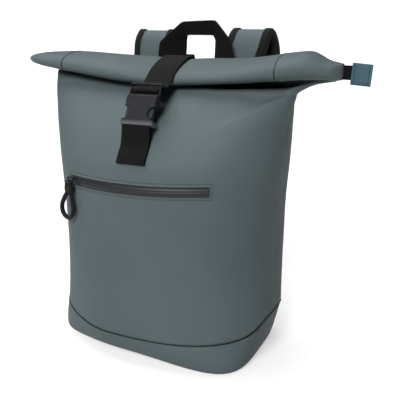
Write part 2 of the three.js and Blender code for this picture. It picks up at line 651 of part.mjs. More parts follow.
const panelPlane = clothY(handleSpread, 0.835 * bodyHeight, 1) + seat + webThick / 2;

function handleStations() {
  const bandTop = handleTop - 0.47 * strapWidth / 2;
  const left = handleRows.map((r) => {
    const turn = THREE.MathUtils.degToRad(r.turn);
    const fall = THREE.MathUtils.degToRad(r.fall);
    return {
      at: V(-r.x * strapWidth, panelPlane + r.back * padThick, standing(r.z, bandTop)),
      wide: V(Math.cos(turn) * Math.cos(fall), Math.sin(turn) * Math.cos(fall), -Math.sin(fall)),
      half: r.half * strapWidth / 2,
      thick: r.thick * webThick,
    };
  });
  const right = left.slice(0, -1).reverse().map((s) => ({
    ...s, at: V(-s.at.x, s.at.y, s.at.z), wide: V(-s.wide.x, s.wide.y, s.wide.z),
  }));
  return faced([...left, ...right]);
}
addNode('carry_handle', band(handleStations()), webbing);

// The shoulder straps
// Centre line of a strap: x and lean in shares of halfWidth, back in shares of padThick behind the
// panel, z as for the handle.  The left strap leans out towards its foot by lean.
const strapRows = [
  { x: 0.380, lean: 0.126, back: 1.000, z: 0.879, half: 1, thick: 0.8 },
  { x: 0.385, lean: 0.078, back: 1.418, z: 1.000, half: 1, thick: 1 },
  { x: 0.410, lean: 0.036, back: 1.818, z: 1.532, half: 1, thick: 1 },
  { x: 0.443, lean: 0.015, back: 2.182, z: 1.798, half: 1, thick: 1 },
  { x: 0.456, lean: 0.004, back: 2.636, z: 1.942, half: 1, thick: 1 },
  { x: 0.465, lean: 0, back: 3.273, z: 2.000, half: 1, thick: 1 },
  { x: 0.475, lean: 0, back: 3.909, z: 1.942, half: 1, thick: 1 },
  { x: 0.490, lean: 0, back: 4.364, z: 1.787, half: 1, thick: 1 },
  { x: 0.505, lean: 0, back: 4.455, z: 1.559, half: 1, thick: 1 },
  { x: 0.530, lean: 0, back: 4.364, z: 0.989, half: 1, thick: 1 },
  { x: 0.560, lean: 0, back: 3.818, z: 0.821, half: 1, thick: 1 },
  { x: 0.590, lean: 0, back: 3.000, z: 0.653, half: 0.96, thick: 1 },
  { x: 0.605, lean: 0, back: 2.636, z: 0.526, half: 0.88, thick: 0.9 },
  { x: 0.610, lean: 0, back: 2.455, z: 0.453, half: 0.74, thick: 0.75 },
];
const strapSpread = 8;       // the left strap stands this much further out
function padStations(side) {
  const spots = strapRows.map((r) => {
    const out = side > 0 ? r.x * halfWidth : (r.x + r.lean) * halfWidth + strapSpread;
    return V(side * out, panelPlane + r.back * padThick, standing(r.z, padTop - padThick / 2));
  });
  return spots.map((p, i) => {
    const run = spots[Math.min(spots.length - 1, i + 1)].clone().sub(spots[Math.max(0, i - 1)]).normalize();
    const wide = V(1, 0, 0).addScaledVector(run, -run.x).normalize();
    const out = run.cross(wide).normalize();
    return { at: p, wide, out, half: strapRows[i].half * padWidth / 2, thick: strapRows[i].thick * padThick };
  });
}
const padProfile = [
  [-0.90, -0.5], [0.90, -0.5], [1, -0.2], [1, 0.2], [0.90, 0.5], [-0.90, 0.5], [-1, 0.2], [-1, -0.2],
];
const bindDeep = 8.5;        // how far the binding folds over the pad
const bindThick = 1.1;
const bindGap = 1.1;

// Folded tape over one edge of a pad.
function bindingRings(stations, edge) {
  return stations.map((s) => {
    const o = (w, t) => s.at.clone().addScaledVector(s.wide, edge * w).addScaledVector(s.out, t);
    const h = s.thick / 2 + bindGap;
    const e = s.half + bindGap;
    const low = s.half - bindDeep;
    const ring = [
      o(low, -h - bindThick), o(e - 1.2, -h - bindThick), o(e + bindThick, -0.4 * s.thick),
      o(e + bindThick, 0.4 * s.thick), o(e - 1.2, h + bindThick), o(low, h + bindThick),
      o(low, h), o(e - 1.6, h), o(e, 0.36 * s.thick),
      o(e, -0.36 * s.thick), o(e - 1.6, -h), o(low, -h),
    ];
    return edge > 0 ? ring : ring.reverse();
  });
}

for (const [side, word] of [[-1, 'left'], [1, 'right']]) {
  const stations = padStations(side);
  addNode(`shoulder_strap_${word}`, band(stations, padProfile), cloth);
  const bound = stations.slice(1, -1);
  addNode(`strap_binding_${word}_outer`, skin(bindingRings(bound, side)), webbing);
  addNode(`strap_binding_${word}_inner`, skin(bindingRings(bound, -side)), webbing);
}

// Adjusters and webbing at the foot of the straps
// A plain ladder lock hangs at the end of each pad; the webbing runs from it to the side of the base.
const lowWidth = 22;
const lockHalf = 15;
const lockDrop = 17;         // from the end of the pad to the middle of the lock
const lockBars = [[-11, -8.4], [-4.6, -1.8], [1.6, 5.0], [8.4, 11]];
for (const [side, word] of [[-1, 'left'], [1, 'right']]) {
  const end = padStations(side).at(-1);
  const drop = V(side * 0.16, -0.22, -1).normalize();
  const wide = V(1, 0, 0).addScaledVector(drop, -drop.x).normalize();
  const out = drop.clone().cross(wide).normalize();
  const frame = new THREE.Matrix4().makeBasis(wide, drop.clone().negate(), out);
  frame.setPosition(end.at.clone().addScaledVector(drop, lockDrop));
  const lockOutline = [[-lockHalf, -11], [lockHalf, -11], [lockHalf, 11], [-lockHalf, 11]];
  const slot = lowWidth / 2 + 0.6;
  let lock = solidOf(plate(lockOutline, -1.8, 1.8, 0.5));
  for (let i = 0; i < 3; i += 1) {
    lock = lock.subtract(solidOf(box(-slot, slot, lockBars[i][1], lockBars[i + 1][0], -5, 5)));
  }
  const placed = geometryOf(lock).applyMatrix4(frame);
  addNode(`strap_adjuster_${word}`, placed, moulded);

  const inLock = ([p, q]) => (
    { at: V(0, p, q).applyMatrix4(frame), wide, half: lowWidth / 2, thick: webThick });
  const hanger = [
    [lockDrop - 2.4, 2.9], [12, 2.9], [8, 2.7], [6.7, 0], [8, -2.7], [12, -2.9], [lockDrop - 2.4, -2.9],
  ];
  addNode(`lock_webbing_${word}`, band(faced(hanger.map(inLock))), webbing);

  const through = [
    [-40, -6.4], [-12, -6.2], [-2.6, -5.6], [-0.2, -2.4], [-0.1, 0.4],
    [-1.6, 2.9], [-4.8, 2.9], [-6.5, 0.2], [-7.6, -2.6], [-12, -3.0],
  ];
  const onCloth = [0.225, 0.175, 0.13].map((share, i) => {
    const x = side * (0.775 + 0.008 * i) * halfWidth;
    const z = share * bodyHeight + 2;
    const away = clothOut(x, z, 1);
    return {
      at: V(x, clothY(x, z, 1), z).addScaledVector(away, (i === 0 ? 4 : 0) + seat + webThick / 2),
      wide: V(away.y, -away.x, 0).normalize(), half: lowWidth / 2, thick: webThick,
    };
  });
  addNode(`lower_webbing_${word}`, band(faced([...through.map(inLock), ...onCloth])), webbing);
}

// Webbing and cloth tab at the end of the roll
const endRow = rollRow(rollHalf);
const endWebHalf = 7.2;
const endLow = endRow.z - 1.5 - endWebHalf;
const endHigh = endRow.z - 1.5 + endWebHalf;
const [endFront, endBack] = [endRow.y - webThick, endRow.y + webThick];
addNode('roll_end_webbing', box(rollHalf + gap, rollHalf + 27, endFront, endBack, endLow, endHigh), webbing);

// Cloth folded over the end of the webbing, hanging a little askew.
const tabStart = rollHalf + 10.5;
const tabEnd = rollHalf + 31;
const tabIn = webThick + gap;
const tabOut = tabIn + 1.6;
const tabOutline = [
  [tabStart, -tabOut], [tabEnd - 3, -tabOut], [tabEnd - 0.8, -0.6 * tabOut], [tabEnd, 0],
  [tabEnd - 0.8, 0.6 * tabOut], [tabEnd - 3, tabOut], [tabStart, tabOut], [tabStart, tabIn],
  [tabEnd - 3.4, tabIn], [tabEnd - 3.4, -tabIn], [tabStart, -tabIn],
];
const tabGeometry = plate(tabOutline.map(([x, y]) => [x - tabStart, y]), -11.5, 11.5);
tabGeometry.rotateY(THREE.MathUtils.degToRad(4));
tabGeometry.translate(tabStart, endRow.y, endRow.z - 3.2);
addNode('roll_end_tab', tabGeometry, tabCloth);

export default group;
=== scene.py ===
from functools import cache
from math import copysign, cos, exp, hypot, pi, radians, sin
import bpy
import numpy as np
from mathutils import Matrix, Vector, noise


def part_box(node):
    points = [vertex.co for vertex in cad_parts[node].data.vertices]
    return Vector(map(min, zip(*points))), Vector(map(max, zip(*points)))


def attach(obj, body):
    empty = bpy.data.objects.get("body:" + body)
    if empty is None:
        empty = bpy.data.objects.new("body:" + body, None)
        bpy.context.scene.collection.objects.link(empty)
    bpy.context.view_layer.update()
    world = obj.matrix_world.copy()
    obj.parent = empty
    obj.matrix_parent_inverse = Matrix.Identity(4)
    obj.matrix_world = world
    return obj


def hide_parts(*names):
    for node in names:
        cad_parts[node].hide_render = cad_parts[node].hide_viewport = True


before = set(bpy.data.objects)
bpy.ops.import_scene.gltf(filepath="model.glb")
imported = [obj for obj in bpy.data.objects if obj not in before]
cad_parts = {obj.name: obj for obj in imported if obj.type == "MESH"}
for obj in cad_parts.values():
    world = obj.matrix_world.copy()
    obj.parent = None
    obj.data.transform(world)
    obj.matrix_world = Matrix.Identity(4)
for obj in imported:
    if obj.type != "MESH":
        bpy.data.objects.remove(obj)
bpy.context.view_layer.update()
print("frame loaded,", len(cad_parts), "solids")

# Camera

cameraSet = {
    "place": (0.37296, -0.75720, 0.42916),
    "looks": (-0.38780, 0.88059, -0.27234),  # a little down, from the front right
    "lens": 58.07,  # mm on a 36 mm sensor, for a square picture
}
cameraData = bpy.data.cameras.new("camera")
cameraData.lens = cameraSet["lens"]
cameraData.sensor_width = 36
camera = bpy.data.objects.new("camera", cameraData)
camera.location = cameraSet["place"]
camera.rotation_euler = Vector(cameraSet["looks"]).to_track_quat("-Z", "Y").to_euler()
link = bpy.context.scene.collection.objects.link
link(camera)
bpy.context.scene.camera = camera

# Small tools. Shapes are worked out in millimetres and turned to metres when a mesh is made.


def linear(colour):  # sRGB hex to the linear values that shaders take
    parts = [int(colour[i:i + 2], 16) / 255 for i in (1, 3, 5)]
    return tuple(c / 12.92 if c <= 0.04045 else ((c + 0.055) / 1.055) ** 2.4 for c in parts) + (1.0,)


def addNode(tree, kind, settings=None, links=None):  # a node, its settings and what feeds it
    node = tree.nodes.new(kind)
    for key, value in (settings or {}).items():
        if isinstance(key, str) and hasattr(node, key):
            setattr(node, key, value)
        else:
            node.inputs[key].default_value = value
    for key, source in (links or {}).items():
        tree.links.new(source, node.inputs[key])
    return node


def mix(p, q, f):
    return p + (q - p) * f


def ease(f):
    k = min(1.0, max(0.0, f))
    return k * k * (3 - 2 * k)


def power(value, exponent):
    return copysign(abs(value) ** exponent, value)


def circle(count, shift=0.0):  # angles all the way round
    return [2 * pi * (k + shift) / count for k in range(count)]


def unit(vectors):
    return vectors / np.linalg.norm(vectors, axis=-1, keepdims=True)


def runOf(points):  # how far along a line of points each one lies
    return np.concatenate([[0], np.cumsum(np.linalg.norm(np.diff(points, axis=0), axis=1))])


def table(names, *rows):
    return [dict(zip(names.split(), row)) for row in rows]


def column(rows, key, place):  # one column of a table at a place between its rows, along a smooth curve
    at = next(iter(rows[0]))
    i = 0
    while i < len(rows) - 2 and place > rows[i + 1][at]:
        i += 1
    p, q = rows[i], rows[i + 1]
    before, after = rows[max(0, i - 1)], rows[min(len(rows) - 1, i + 2)]
    span = q[at] - p[at]

    def slope(r, s):
        return 0 if s[at] == r[at] else (s[key] - r[key]) / (s[at] - r[at])

    chord = slope(p, q)
    m0 = chord if i == 0 else 0.5 * (slope(before, p) + chord)
    m1 = chord if i + 2 >= len(rows) else 0.5 * (slope(q, after) + chord)
    f = min(1.0, max(0.0, (place - p[at]) / span))
    return mix(p[key], q[key], ease(f)) + f * (1 - f) ** 2 * span * m0 - f * f * (1 - f) * span * m1


def smooth(points, steps):  # more points on a smooth curve through the given ones
    p = np.array(points, float)
    last = len(p) - 1
    found = []
    for i in range(last):
        a, b, c, d = (p[min(last, max(0, k))] for k in (i - 1, i, i + 1, i + 2))
        for t in (k / steps for k in range(steps)):
            found.append(0.5 * (2 * b + (c - a) * t + (2 * a - 5 * b + 4 * c - d) * t * t
                                + (3 * b - a - 3 * c + d) * t ** 3))
    return np.array(found + [p[-1]])


def place(piece, replaced=(), slot=None):
    link(piece)
    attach(piece, "root")
    if replaced:
        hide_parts(*replaced)
    return piece


def newMesh(name, spots, faces, material):
    mesh = bpy.data.meshes.new(name)
    mesh.from_pydata((np.array(spots).reshape(-1, 3) / 1000).tolist(), [], faces)
    mesh.materials.append(material)
    mesh.shade_smooth()
    return mesh


def skin(name, rings, material, closed=False, sharp=50):  # a closed skin over rings of equally many points
    rings = np.array(rings, float)
    count, n = rings.shape[:2]
    faces, uvs = [], []
    ahead = np.roll(rings, -1, axis=1)
    around = np.linalg.norm(ahead - rings, axis=2)
    u = np.concatenate([np.zeros((count, 1)), np.cumsum(around, axis=1)], axis=1) / 1000
    nextRing = np.roll(rings, -1, axis=0)
    v = np.concatenate([[0], np.cumsum(np.linalg.norm(nextRing - rings, axis=2).mean(axis=1))]) / 1000
    for r in range(count if closed else count - 1):
        up = (r + 1) % count
        here, there = r * n, up * n
        for i in range(n):
            j = (i + 1) % n
            faces.append((here + i, here + j, there + j, there + i))
            uvs += [u[r, i], v[r], u[r, i + 1], v[r], u[up, i + 1], v[r + 1], u[up, i], v[r + 1]]
    if not closed:
        faces.append(tuple(range(n - 1, -1, -1)))
        faces.append(tuple(range((count - 1) * n, count * n)))
        uvs += [0.0] * (4 * n)
    mesh = newMesh(name, rings, faces, material)
    mesh.uv_layers.new(name="weave").data.foreach_set("uv", uvs)
    middle = rings.mean((0, 1))
    a, b, c = (corner - middle for corner in (rings[:-1], ahead[:-1], rings[1:]))
    if np.einsum("ijk,ijk->", a, np.cross(b, c)) < 0:  # makes the faces look outward
        mesh.flip_normals()
    mesh.set_sharp_from_angle(angle=radians(sharp))
    return bpy.data.objects.new(name, mesh)


def pushOut(piece, amount, first=0, last=None):  # moves points along their normals by amount(x, y, z) mm
    points = piece.data.vertices[first:last]
    for point, normal in [(p, p.normal.copy()) for p in points]:
        point.co += normal * (amount(*(point.co * 1000)) / 1000)


def waves(x, y, z, size):  # smooth noise, -1 to 1, with hills about size mm apart
    return noise.noise(Vector((x, y, z)) / size)


def bent(points, round):  # straight runs between the given points, with bends rounded over a few mm
    p = np.array(points, float)
    run = runOf(p[:, :3])
    reach = 3 * round
    at = np.linspace(-reach, run[-1] + reach, int((run[-1] + 2 * reach) / 0.6))
    fine = np.array([np.interp(at, run, p[:, i]) for i in range(p.shape[1])]).T
    first, last = at < 0, at > run[-1]
    fine[first] += (at[first, None]) * (p[1] - p[0]) / (run[1] - run[0])
    fine[last] += (at[last, None] - run[-1]) * (p[-1] - p[-2]) / (run[-1] - run[-2])
    weights = np.exp(-0.5 * (np.arange(-reach, reach + 0.1, 0.6) / round) ** 2)
    soft = np.array([np.convolve(fine[:, i], weights / weights.sum(), "valid") for i in range(p.shape[1])]).T
    return soft[::3]


# Edge of a strap or tape: flat faces, rounded edges
flatProfile = [
    (-0.96, -0.5), (-0.5, -0.52), (0, -0.52), (0.5, -0.52), (0.96, -0.5), (0.99, -0.3), (1, 0), (0.99, 0.3),
    (0.96, 0.5), (0.5, 0.52), (0, 0.52), (-0.5, 0.52), (-0.96, 0.5), (-0.99, 0.3), (-1, 0), (-0.99, -0.3),
]


def strapRings(at, wide, half, thick):  # sections of a strap along its middle line
    at, wide = np.array(at, float), unit(np.array(wide, float))
    out = unit(np.cross(np.gradient(at, axis=0), wide))
    half, thick = np.broadcast_to(half, len(at)), np.broadcast_to(thick, len(at))
    return [[at[i] + wide[i] * w * half[i] + out[i] * t * thick[i] for w, t in flatProfile]
            for i in range(len(at))]


def levelStrap(part):  # a strap that lies across X and follows the (y, z) points of its path
    at = [(0, y, z) for y, z in smooth(part["path"], 5)]
    return strapRings(at, [(1, 0, 0)] * len(at), part["width"] / 2, part["thick"])


def stitches(name, spots, material, pitch=3.6, length=2.6, thick=0.5, closed=False):
    # sewn thread along spots of (point, normal): each stitch dips into the cloth at both ends
    points = np.array([s[0] for s in spots], float)
    normals = np.array([s[1] for s in spots], float)
    if closed:
        points, normals = np.vstack([points, points[:1]]), np.vstack([normals, normals[:1]])
    run = runOf(points)
    count = max(1, round(run[-1] / pitch))
    coords, faces = [], []
    shape = ((-0.5, 0.35, -0.2), (-0.36, 0.9, 0.25), (0, 1, 0.4), (0.36, 0.9, 0.25), (0.5, 0.35, -0.2))
    for k in range(count):
        here = (k + 0.5) * run[-1] / count
        p, ahead, n = (np.array([np.interp(here + d, run, data[:, i]) for i in range(3)])
                       for d, data in ((0, points), (0.4, points), (0, normals)))
        tangent = ahead - p
        if np.linalg.norm(tangent) < 1e-6:
            continue
        tangent = unit(tangent)
        side = unit(np.cross(tangent, n))
        n = np.cross(side, tangent)
        first = len(coords)
        for t, size, lift in shape:
            for a in circle(6):
                offset = side * cos(a) * size + n * (sin(a) * size * 0.8)
                coords.append(p + tangent * t * length + n * lift * thick + offset * thick / 2)
        for r in range(4):
            for c in range(6):
                a, b = first + r * 6, (c + 1) % 6
                faces.append((a + c, a + b, a + 6 + b, a + 6 + c))
        faces.append(tuple(first + c for c in range(5, -1, -1)))
        faces.append(tuple(first + 24 + c for c in range(6)))
    return bpy.data.objects.new(name, newMesh(name, coords, faces, material))


# Materials


def startMaterial(name, colour, roughness, specular, ior=1.5):
    material = bpy.data.materials.new(name)
    material.use_nodes = True
    shader = material.node_tree.nodes["Principled BSDF"]
    for key, value in (("Base Color", linear(colour)), ("Roughness", roughness), ("IOR", ior),
                       ("Specular IOR Level", specular)):
        shader.inputs[key].default_value = value
    return material, material.node_tree, shader


def feed(shader, **sources):  # colour, roughness or normal from the output of a node
    names = {"colour": "Base Color", "roughness": "Roughness", "normal": "Normal"}
    for key, source in sources.items():
        shader.id_data.links.new(source, shader.inputs[names[key]])


def weaveMap(tree):  # metres along the cloth
    return addNode(tree, "ShaderNodeUVMap", {"uv_map": "weave"}).outputs[0]


def bodyMap(tree):
    return addNode(tree, "ShaderNodeTexCoord").outputs["Object"]


def cloud(tree, where, mm, detail):  # noise with spots about this size
    return addNode(tree, "ShaderNodeTexNoise", {"Scale": 1000 / mm, "Detail": detail},
                   {"Vector": where}).outputs[0]


def ripple(tree, where, mm, direction):  # bands this far apart; at scale 1 they are 314.16 mm apart
    return addNode(tree, "ShaderNodeTexWave", {"bands_direction": direction, "Scale": 314.16 / mm},
                   {"Vector": where}).outputs[1]


def calc(tree, operation, *values):  # each value is a number or the output of a node
    numbers = {i: v for i, v in enumerate(values) if isinstance(v, (int, float))}
    links = {i: v for i, v in enumerate(values) if i not in numbers}
    return addNode(tree, "ShaderNodeMath", {"operation": operation, **numbers}, links).outputs[0]


def remap(tree, value, low, high, start=0.0, end=1.0):  # start to end becomes low to high
    ranges = {"From Min": start, "From Max": end, "To Min": low, "To Max": high}
    return addNode(tree, "ShaderNodeMapRange", ranges, {"Value": value}).outputs[0]


def ramp(tree, value, start, end, low="#000000", high="#ffffff"):
    node = addNode(tree, "ShaderNodeValToRGB", None, {"Fac": value})
    for stop, at, colour in zip(node.color_ramp.elements, (start, end), (low, high)):
        stop.position, stop.color = at, linear(colour)
    return node.outputs[0]


def blend(tree, share, first, second):  # first is a colour or the output of a node
    node = addNode(tree, "ShaderNodeMix", {"data_type": "RGBA", 7: linear(second)}, {0: share})
    if isinstance(first, str):
        node.inputs[6].default_value = linear(first)
    else:
        tree.links.new(first, node.inputs[6])
    return node.outputs[2]


def bump(tree, height, strength, mm, under=None):
    return addNode(tree, "ShaderNodeBump", {"Strength": strength, "Distance": mm / 1000},
                   {"Height": height, "Normal": under} if under else {"Height": height}).outputs[0]


def coatedCloth(name, light, dark, roughness, threadMm, weaveDepth):
    # polyurethane-coated polyester: matt and smooth, the weave just shows through the coat
    material, tree, shader = startMaterial(name, light, roughness, 0.08)
    uv, body = weaveMap(tree), bodyMap(tree)
    weave = calc(tree, "MULTIPLY", ripple(tree, uv, threadMm, "X"), ripple(tree, uv, threadMm, "Y"))
    tone = ramp(tree, cloud(tree, body, 120, 3), 0.35, 0.65, dark, light)
    fleck = cloud(tree, body, 1.4, 2)
    shade = {"Color": tone, "Value": remap(tree, fleck, 0.93, 1.07)}
    crinkle = bump(tree, cloud(tree, body, 22, 4), 0.35, 1.2)
    feed(shader, colour=addNode(tree, "ShaderNodeHueSaturation", None, shade).outputs[0],
         roughness=remap(tree, fleck, roughness - 0.06, roughness + 0.06),
         normal=bump(tree, weave, weaveDepth, 0.2, crinkle))
    return material


def wovenStrap(name, low, high, roughness, pickMm, ribMm):
    # nylon webbing and tape: dull black, herringbone ribs with a painted highlight along their tops and
    # painted shade between them
    material, tree, shader = startMaterial(name, high, roughness, 0.06, 1.53)
    uv = weaveMap(tree)
    across, along, _ = addNode(tree, "ShaderNodeSeparateXYZ", None, {0: uv}).outputs
    slant = calc(tree, "ADD", calc(tree, "PINGPONG", across, ribMm / 1000), along)
    rib = calc(tree, "SINE", calc(tree, "MULTIPLY", slant, 2000 * pi / pickMm))
    relief = calc(tree, "MULTIPLY_ADD", rib, 0.4, cloud(tree, uv, 0.8, 3))
    shader.inputs["Sheen Weight"].default_value = 0.03
    # painted highlight and shade: colour runs from low in the grooves to high on the rib tops
    feed(shader, colour=ramp(tree, relief, 0.1, 0.9, low, high), normal=bump(tree, relief, 0.6, 0.3))
    return material


def mouldedPlastic(name, colour, worn, roughness, lip):
    # injection-moulded acetal: fine spark-eroded grain, a soft shine, edges rubbed a little lighter, and a
    # painted highlight that lightens the colour near the flared lip
    material, tree, shader = startMaterial(name, colour, roughness, 0.12, 1.48)
    body = bodyMap(tree)
    edge = ramp(tree, addNode(tree, "ShaderNodeNewGeometry").outputs["Pointiness"], 0.52, 0.6)
    up = addNode(tree, "ShaderNodeSeparateXYZ", None, {0: body}).outputs[2]
    away = calc(tree, "ABSOLUTE", calc(tree, "SUBTRACT", up, lip["height"]))
    # painted highlight: the base colour turns lighter within reach of the lip's height
    near = remap(tree, away, 1.0, 0.0, end=lip["reach"])
    feed(shader, colour=blend(tree, near, blend(tree, edge, colour, worn), lip["colour"]),
         roughness=remap(tree, cloud(tree, body, 9, 3), roughness - 0.07, roughness + 0.07),
         normal=bump(tree, cloud(tree, body, 0.35, 2), 0.25, 0.1))
    return material


def coatedZip(name, colour, light):
    # film-coated coil zipper: satin, the coil beneath shows as fine even ripples
    material, tree, shader = startMaterial(name, colour, 0.42, 0.3)
    uv = weaveMap(tree)
    feed(shader, colour=blend(tree, cloud(tree, uv, 6, 3), colour, light),
         normal=bump(tree, ripple(tree, uv, 1.3, "Y"), 0.3, 0.2))
    return material


def airMesh(name, colour, cellShade, cellMm):
    # knitted spacer mesh: soft black knit with open cells, painted darker inside as painted shade
    material, tree, shader = startMaterial(name, colour, 0.9, 0.2)
    cells = addNode(tree, "ShaderNodeTexVoronoi", {"Scale": 1000 / cellMm, "Randomness": 0.25},
                    {"Vector": weaveMap(tree)}).outputs[0]
    # painted shade: the open cells take the darker colour
    feed(shader, colour=ramp(tree, cells, 0.25, 0.5, cellShade, colour), normal=bump(tree, cells, 0.8, 0.8))
    return material


def sewnThread(name, colour):
    # twisted polyester thread: a dull line with a fine twist
    material, tree, shader = startMaterial(name, colour, 0.6, 0.12)
    feed(shader, normal=bump(tree, ripple(tree, bodyMap(tree), 0.5, "DIAGONAL"), 0.4, 0.1))
    return material


def darkMetal(name, colour):
    # zinc casting with a black finish: metal under dark satin, uneven where fingers rub it
    material, tree, shader = startMaterial(name, colour, 0.36, 0.5)
    shader.inputs["Metallic"].default_value = 0.9
    feed(shader, roughness=remap(tree, cloud(tree, bodyMap(tree), 2, 3), 0.26, 0.5))
    return material


# painted highlight on the buckle's flared lip: its height, how far it reaches and its colour
lipHighlightSet = {"height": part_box("buckle_socket")[0][2] + 0.003, "reach": 0.007, "colour": "#5c5d60"}  # metres
bagCloth = coatedCloth("coated polyester cloth", "#454e50", "#414a4c", 0.6, 0.5, 0.12)
strapCloth = coatedCloth("coated polyester on pads", "#464f51", "#424b4d", 0.62, 0.5, 0.15)
tabCloth = coatedCloth("plain woven polyester tab", "#3a4f56", "#33474f", 0.8, 0.9, 0.6)
# low and high colours of these straps: painted shade in the grooves, painted highlight on the rib tops
nylonWebbing = wovenStrap("nylon webbing", "#030304", "#0c0c0e", 0.72, 1.8, 4.7)
grosgrainTape = wovenStrap("grosgrain tape", "#0b0b0c", "#1b1b1d", 0.75, 1.2, 60)
braidedCord = wovenStrap("braided polyester cord", "#0c0c0d", "#1d1d1f", 0.7, 1.4, 1.2)
acetal = mouldedPlastic("moulded acetal", "#131415", "#3c3d40", 0.42, lipHighlightSet)
zipFilm = coatedZip("film-coated zipper tape", "#0f1013", "#191b1e")
# the second colour of the spacer mesh is painted shade inside its open cells
spacerMesh = airMesh("knitted spacer mesh", "#18181a", "#050506", 3)
seamThread = sewnThread("dark polyester thread", "#161b1d")
clothThread = sewnThread("grey polyester thread", "#4c585b")
blackThread = sewnThread("black polyester thread", "#0e0e10")
sliderMetal = darkMetal("black-finished zinc", "#3a3b3e")
print("materials made")

# Body of the bag

bodySet = {
    "height": 358, "halfWidth": 150, "front": 121, "back": 79, "wall": 2,
    "rows": table(
        "z left right front back nf nb",
        (40 / 358, 0.967, 0.988, 0.975, 0.962, 2.55, 3.6),
        (0.175, 0.955, 0.984, 0.992, 0.975, 2.45, 3.6),
        (0.27, 0.95, 0.984, 1.0, 0.99, 2.35, 3.6),
        (0.4, 0.952, 0.99, 1.006, 1.0, 2.3, 3.6),
        (0.53, 0.964, 1.0, 1.003, 1.0, 2.3, 3.5),
        (0.62, 0.982, 1.008, 0.993, 1.0, 2.3, 3.5),
        (0.69, 1.0, 1.022, 0.967, 0.995, 2.32, 3.4),
        (0.735, 1.016, 1.03, 0.928, 0.99, 2.35, 3.3),
        (0.785, 1.04, 1.04, 0.832, 0.98, 2.42, 3.1),
        (0.835, 1.07, 1.05, 0.708, 0.955, 2.5, 2.9),
        (0.885, 1.106, 1.068, 0.565, 0.88, 2.5, 2.6),
        (0.93, 1.14, 1.086, 0.42, 0.7, 2.4, 2.4),
        (0.96, 1.16, 1.12, 0.29, 0.46, 2.2, 2.3),
        (0.98, 1.17, 1.27, 0.178, 0.27, 2.2, 2.3),
        (0.993, 1.172, 1.41, 0.096, 0.145, 2.4, 2.5),
        (1.0, 1.172, 1.44, 0.064, 0.098, 2.6, 2.6),
    ),
    # soft ridges and dents between two points of the cloth
    "folds": table(
        "x0 z0 x1 z1 wide rise",
        (0.98, 0.83, 0.84, 0.74, 20, -3.2),
        (0.93, 0.42, 0.9, 0.22, 26, -1.6),
        (-1.14, 0.94, -0.93, 0.8, 17, 1.6),
    ),
    # sharp crease from the wing down across the front: its ends as (x, z), the height of its crest, the depth
    # of the groove below it, and how far its sides and ends fade away
    "crease": {"from": (166, 345), "to": (107, 312), "crest": 3.0, "groove": 9.0,
               "above": 13, "drop": 7, "below": 34, "before": 20, "past": 24},
    # deep fold under the roll, with the height of its lower edge
    "fold": table(
        "x z deep",
        (-190, 358.5, 0), (-165, 356.5, 3), (-100, 352.3, 6), (-50, 348.7, 7), (10, 348, 8), (50, 346.4, 10),
        (80, 346, 10), (103, 347.2, 9), (126, 349.5, 7), (147, 352, 4), (172, 353, 1), (200, 357, 0),
    ),
    # where the cloth lies even: behind the closure from a height up, and round the zipper
    "even": {"half": 34, "from": 245, "over": 20, "zip": 234, "zipHigh": 16, "zipHalf": 112},
    "sides": 340,
    "levels": 190,
}
rollSet = {
    "half": 220, "long": 37, "thick": 12, "height": 364, "shift": -3,
    "rows": table(
        "x y z long thick tilt",
        (-1.0, 4, 10, 0.13, 0.2, 2), (-0.975, 4, 10.5, 0.3, 0.42, 3), (-0.91, 3, 11, 0.56, 0.66, 5),
        (-0.8, 2, 10.5, 0.78, 0.86, 7), (-0.62, 1, 8.5, 0.9, 1.1, 9), (-0.4, 0, 4.5, 0.95, 1.16, 13),
        (-0.16, 0, 0.8, 1.0, 1.04, 18), (0.0, 2.5, -1.4, 0.91, 0.88, 21), (0.2, 0, 1.0, 1.0, 0.98, 17),
        (0.43, 0, 3.5, 0.98, 1.02, 14), (0.6, 1, 7.5, 0.95, 1.18, 12), (0.74, 2, 11.3, 0.92, 1.33, 10),
        (0.83, 2, 12.6, 0.87, 1.33, 8), (0.92, 3, 7.5, 0.72, 0.95, 5), (0.97, 3, 6.0, 0.52, 0.9, 4),
        (1.0, 3, 5.5, 0.22, 0.84, 3),
    ),
    "band": 0.30, "pitch": 0.35, "turns": 1.75,  # thickness and step of the wound layers, and their turns
    "levels": 220,
    "steps": 110,
    "seams": (-147, 147),  # where the side seams of the bag run round the roll
    "thread": {"lift": 0.45, "high": 0.5, "wide": 0.62},  # dark stitching in the groove of these seams
}
seamSet = {
    "bow": 0.16,  # share of the base's height that it climbs evenly
    "right": 12, "left": 3, "at": 146, "steep": 24,  # it turns up sharply at the far sides
    "slope": {"from": 45, "over": 85, "rise": 9.5},  # on the left it climbs from further in as well
    "edge": 0.994,  # the sewn edges above and below are turned in a little
}
height, halfWidth = bodySet["height"], bodySet["halfWidth"]
baseHeight = 40
seamShare = baseHeight / height
bodyTurns = circle(bodySet["sides"], 0.5)


@cache
def rollRow(x):
    share = min(1.0, max(-1.0, x / rollSet["half"]))
    y, z, long, thick, tilt = (column(rollSet["rows"], key, share) for key in list(rollSet["rows"][0])[1:])
    return {"y": rollSet["shift"] + y, "z": rollSet["height"] + z, "long": rollSet["long"] * long,
            "thick": rollSet["thick"] * thick, "tilt": radians(tilt)}


def rollSpot(x, turn, grow=0.0):  # on the roll's section: 0 is its back edge, a quarter turn its top
    s = rollRow(x)
    u = (s["long"] + grow) * power(cos(turn), 0.9)
    v = (s["thick"] + grow) * power(sin(turn), 0.9)
    c, q = cos(s["tilt"]), sin(s["tilt"])
    return (x, s["y"] + u * c - v * q, s["z"] + u * q + v * c)


def rollUnder(x, y):  # height of the roll's underside
    found = [rollSpot(x, -pi * k / 60) for k in range(1, 60)]
    return min(found, key=lambda p: abs(p[1] - y))[2]


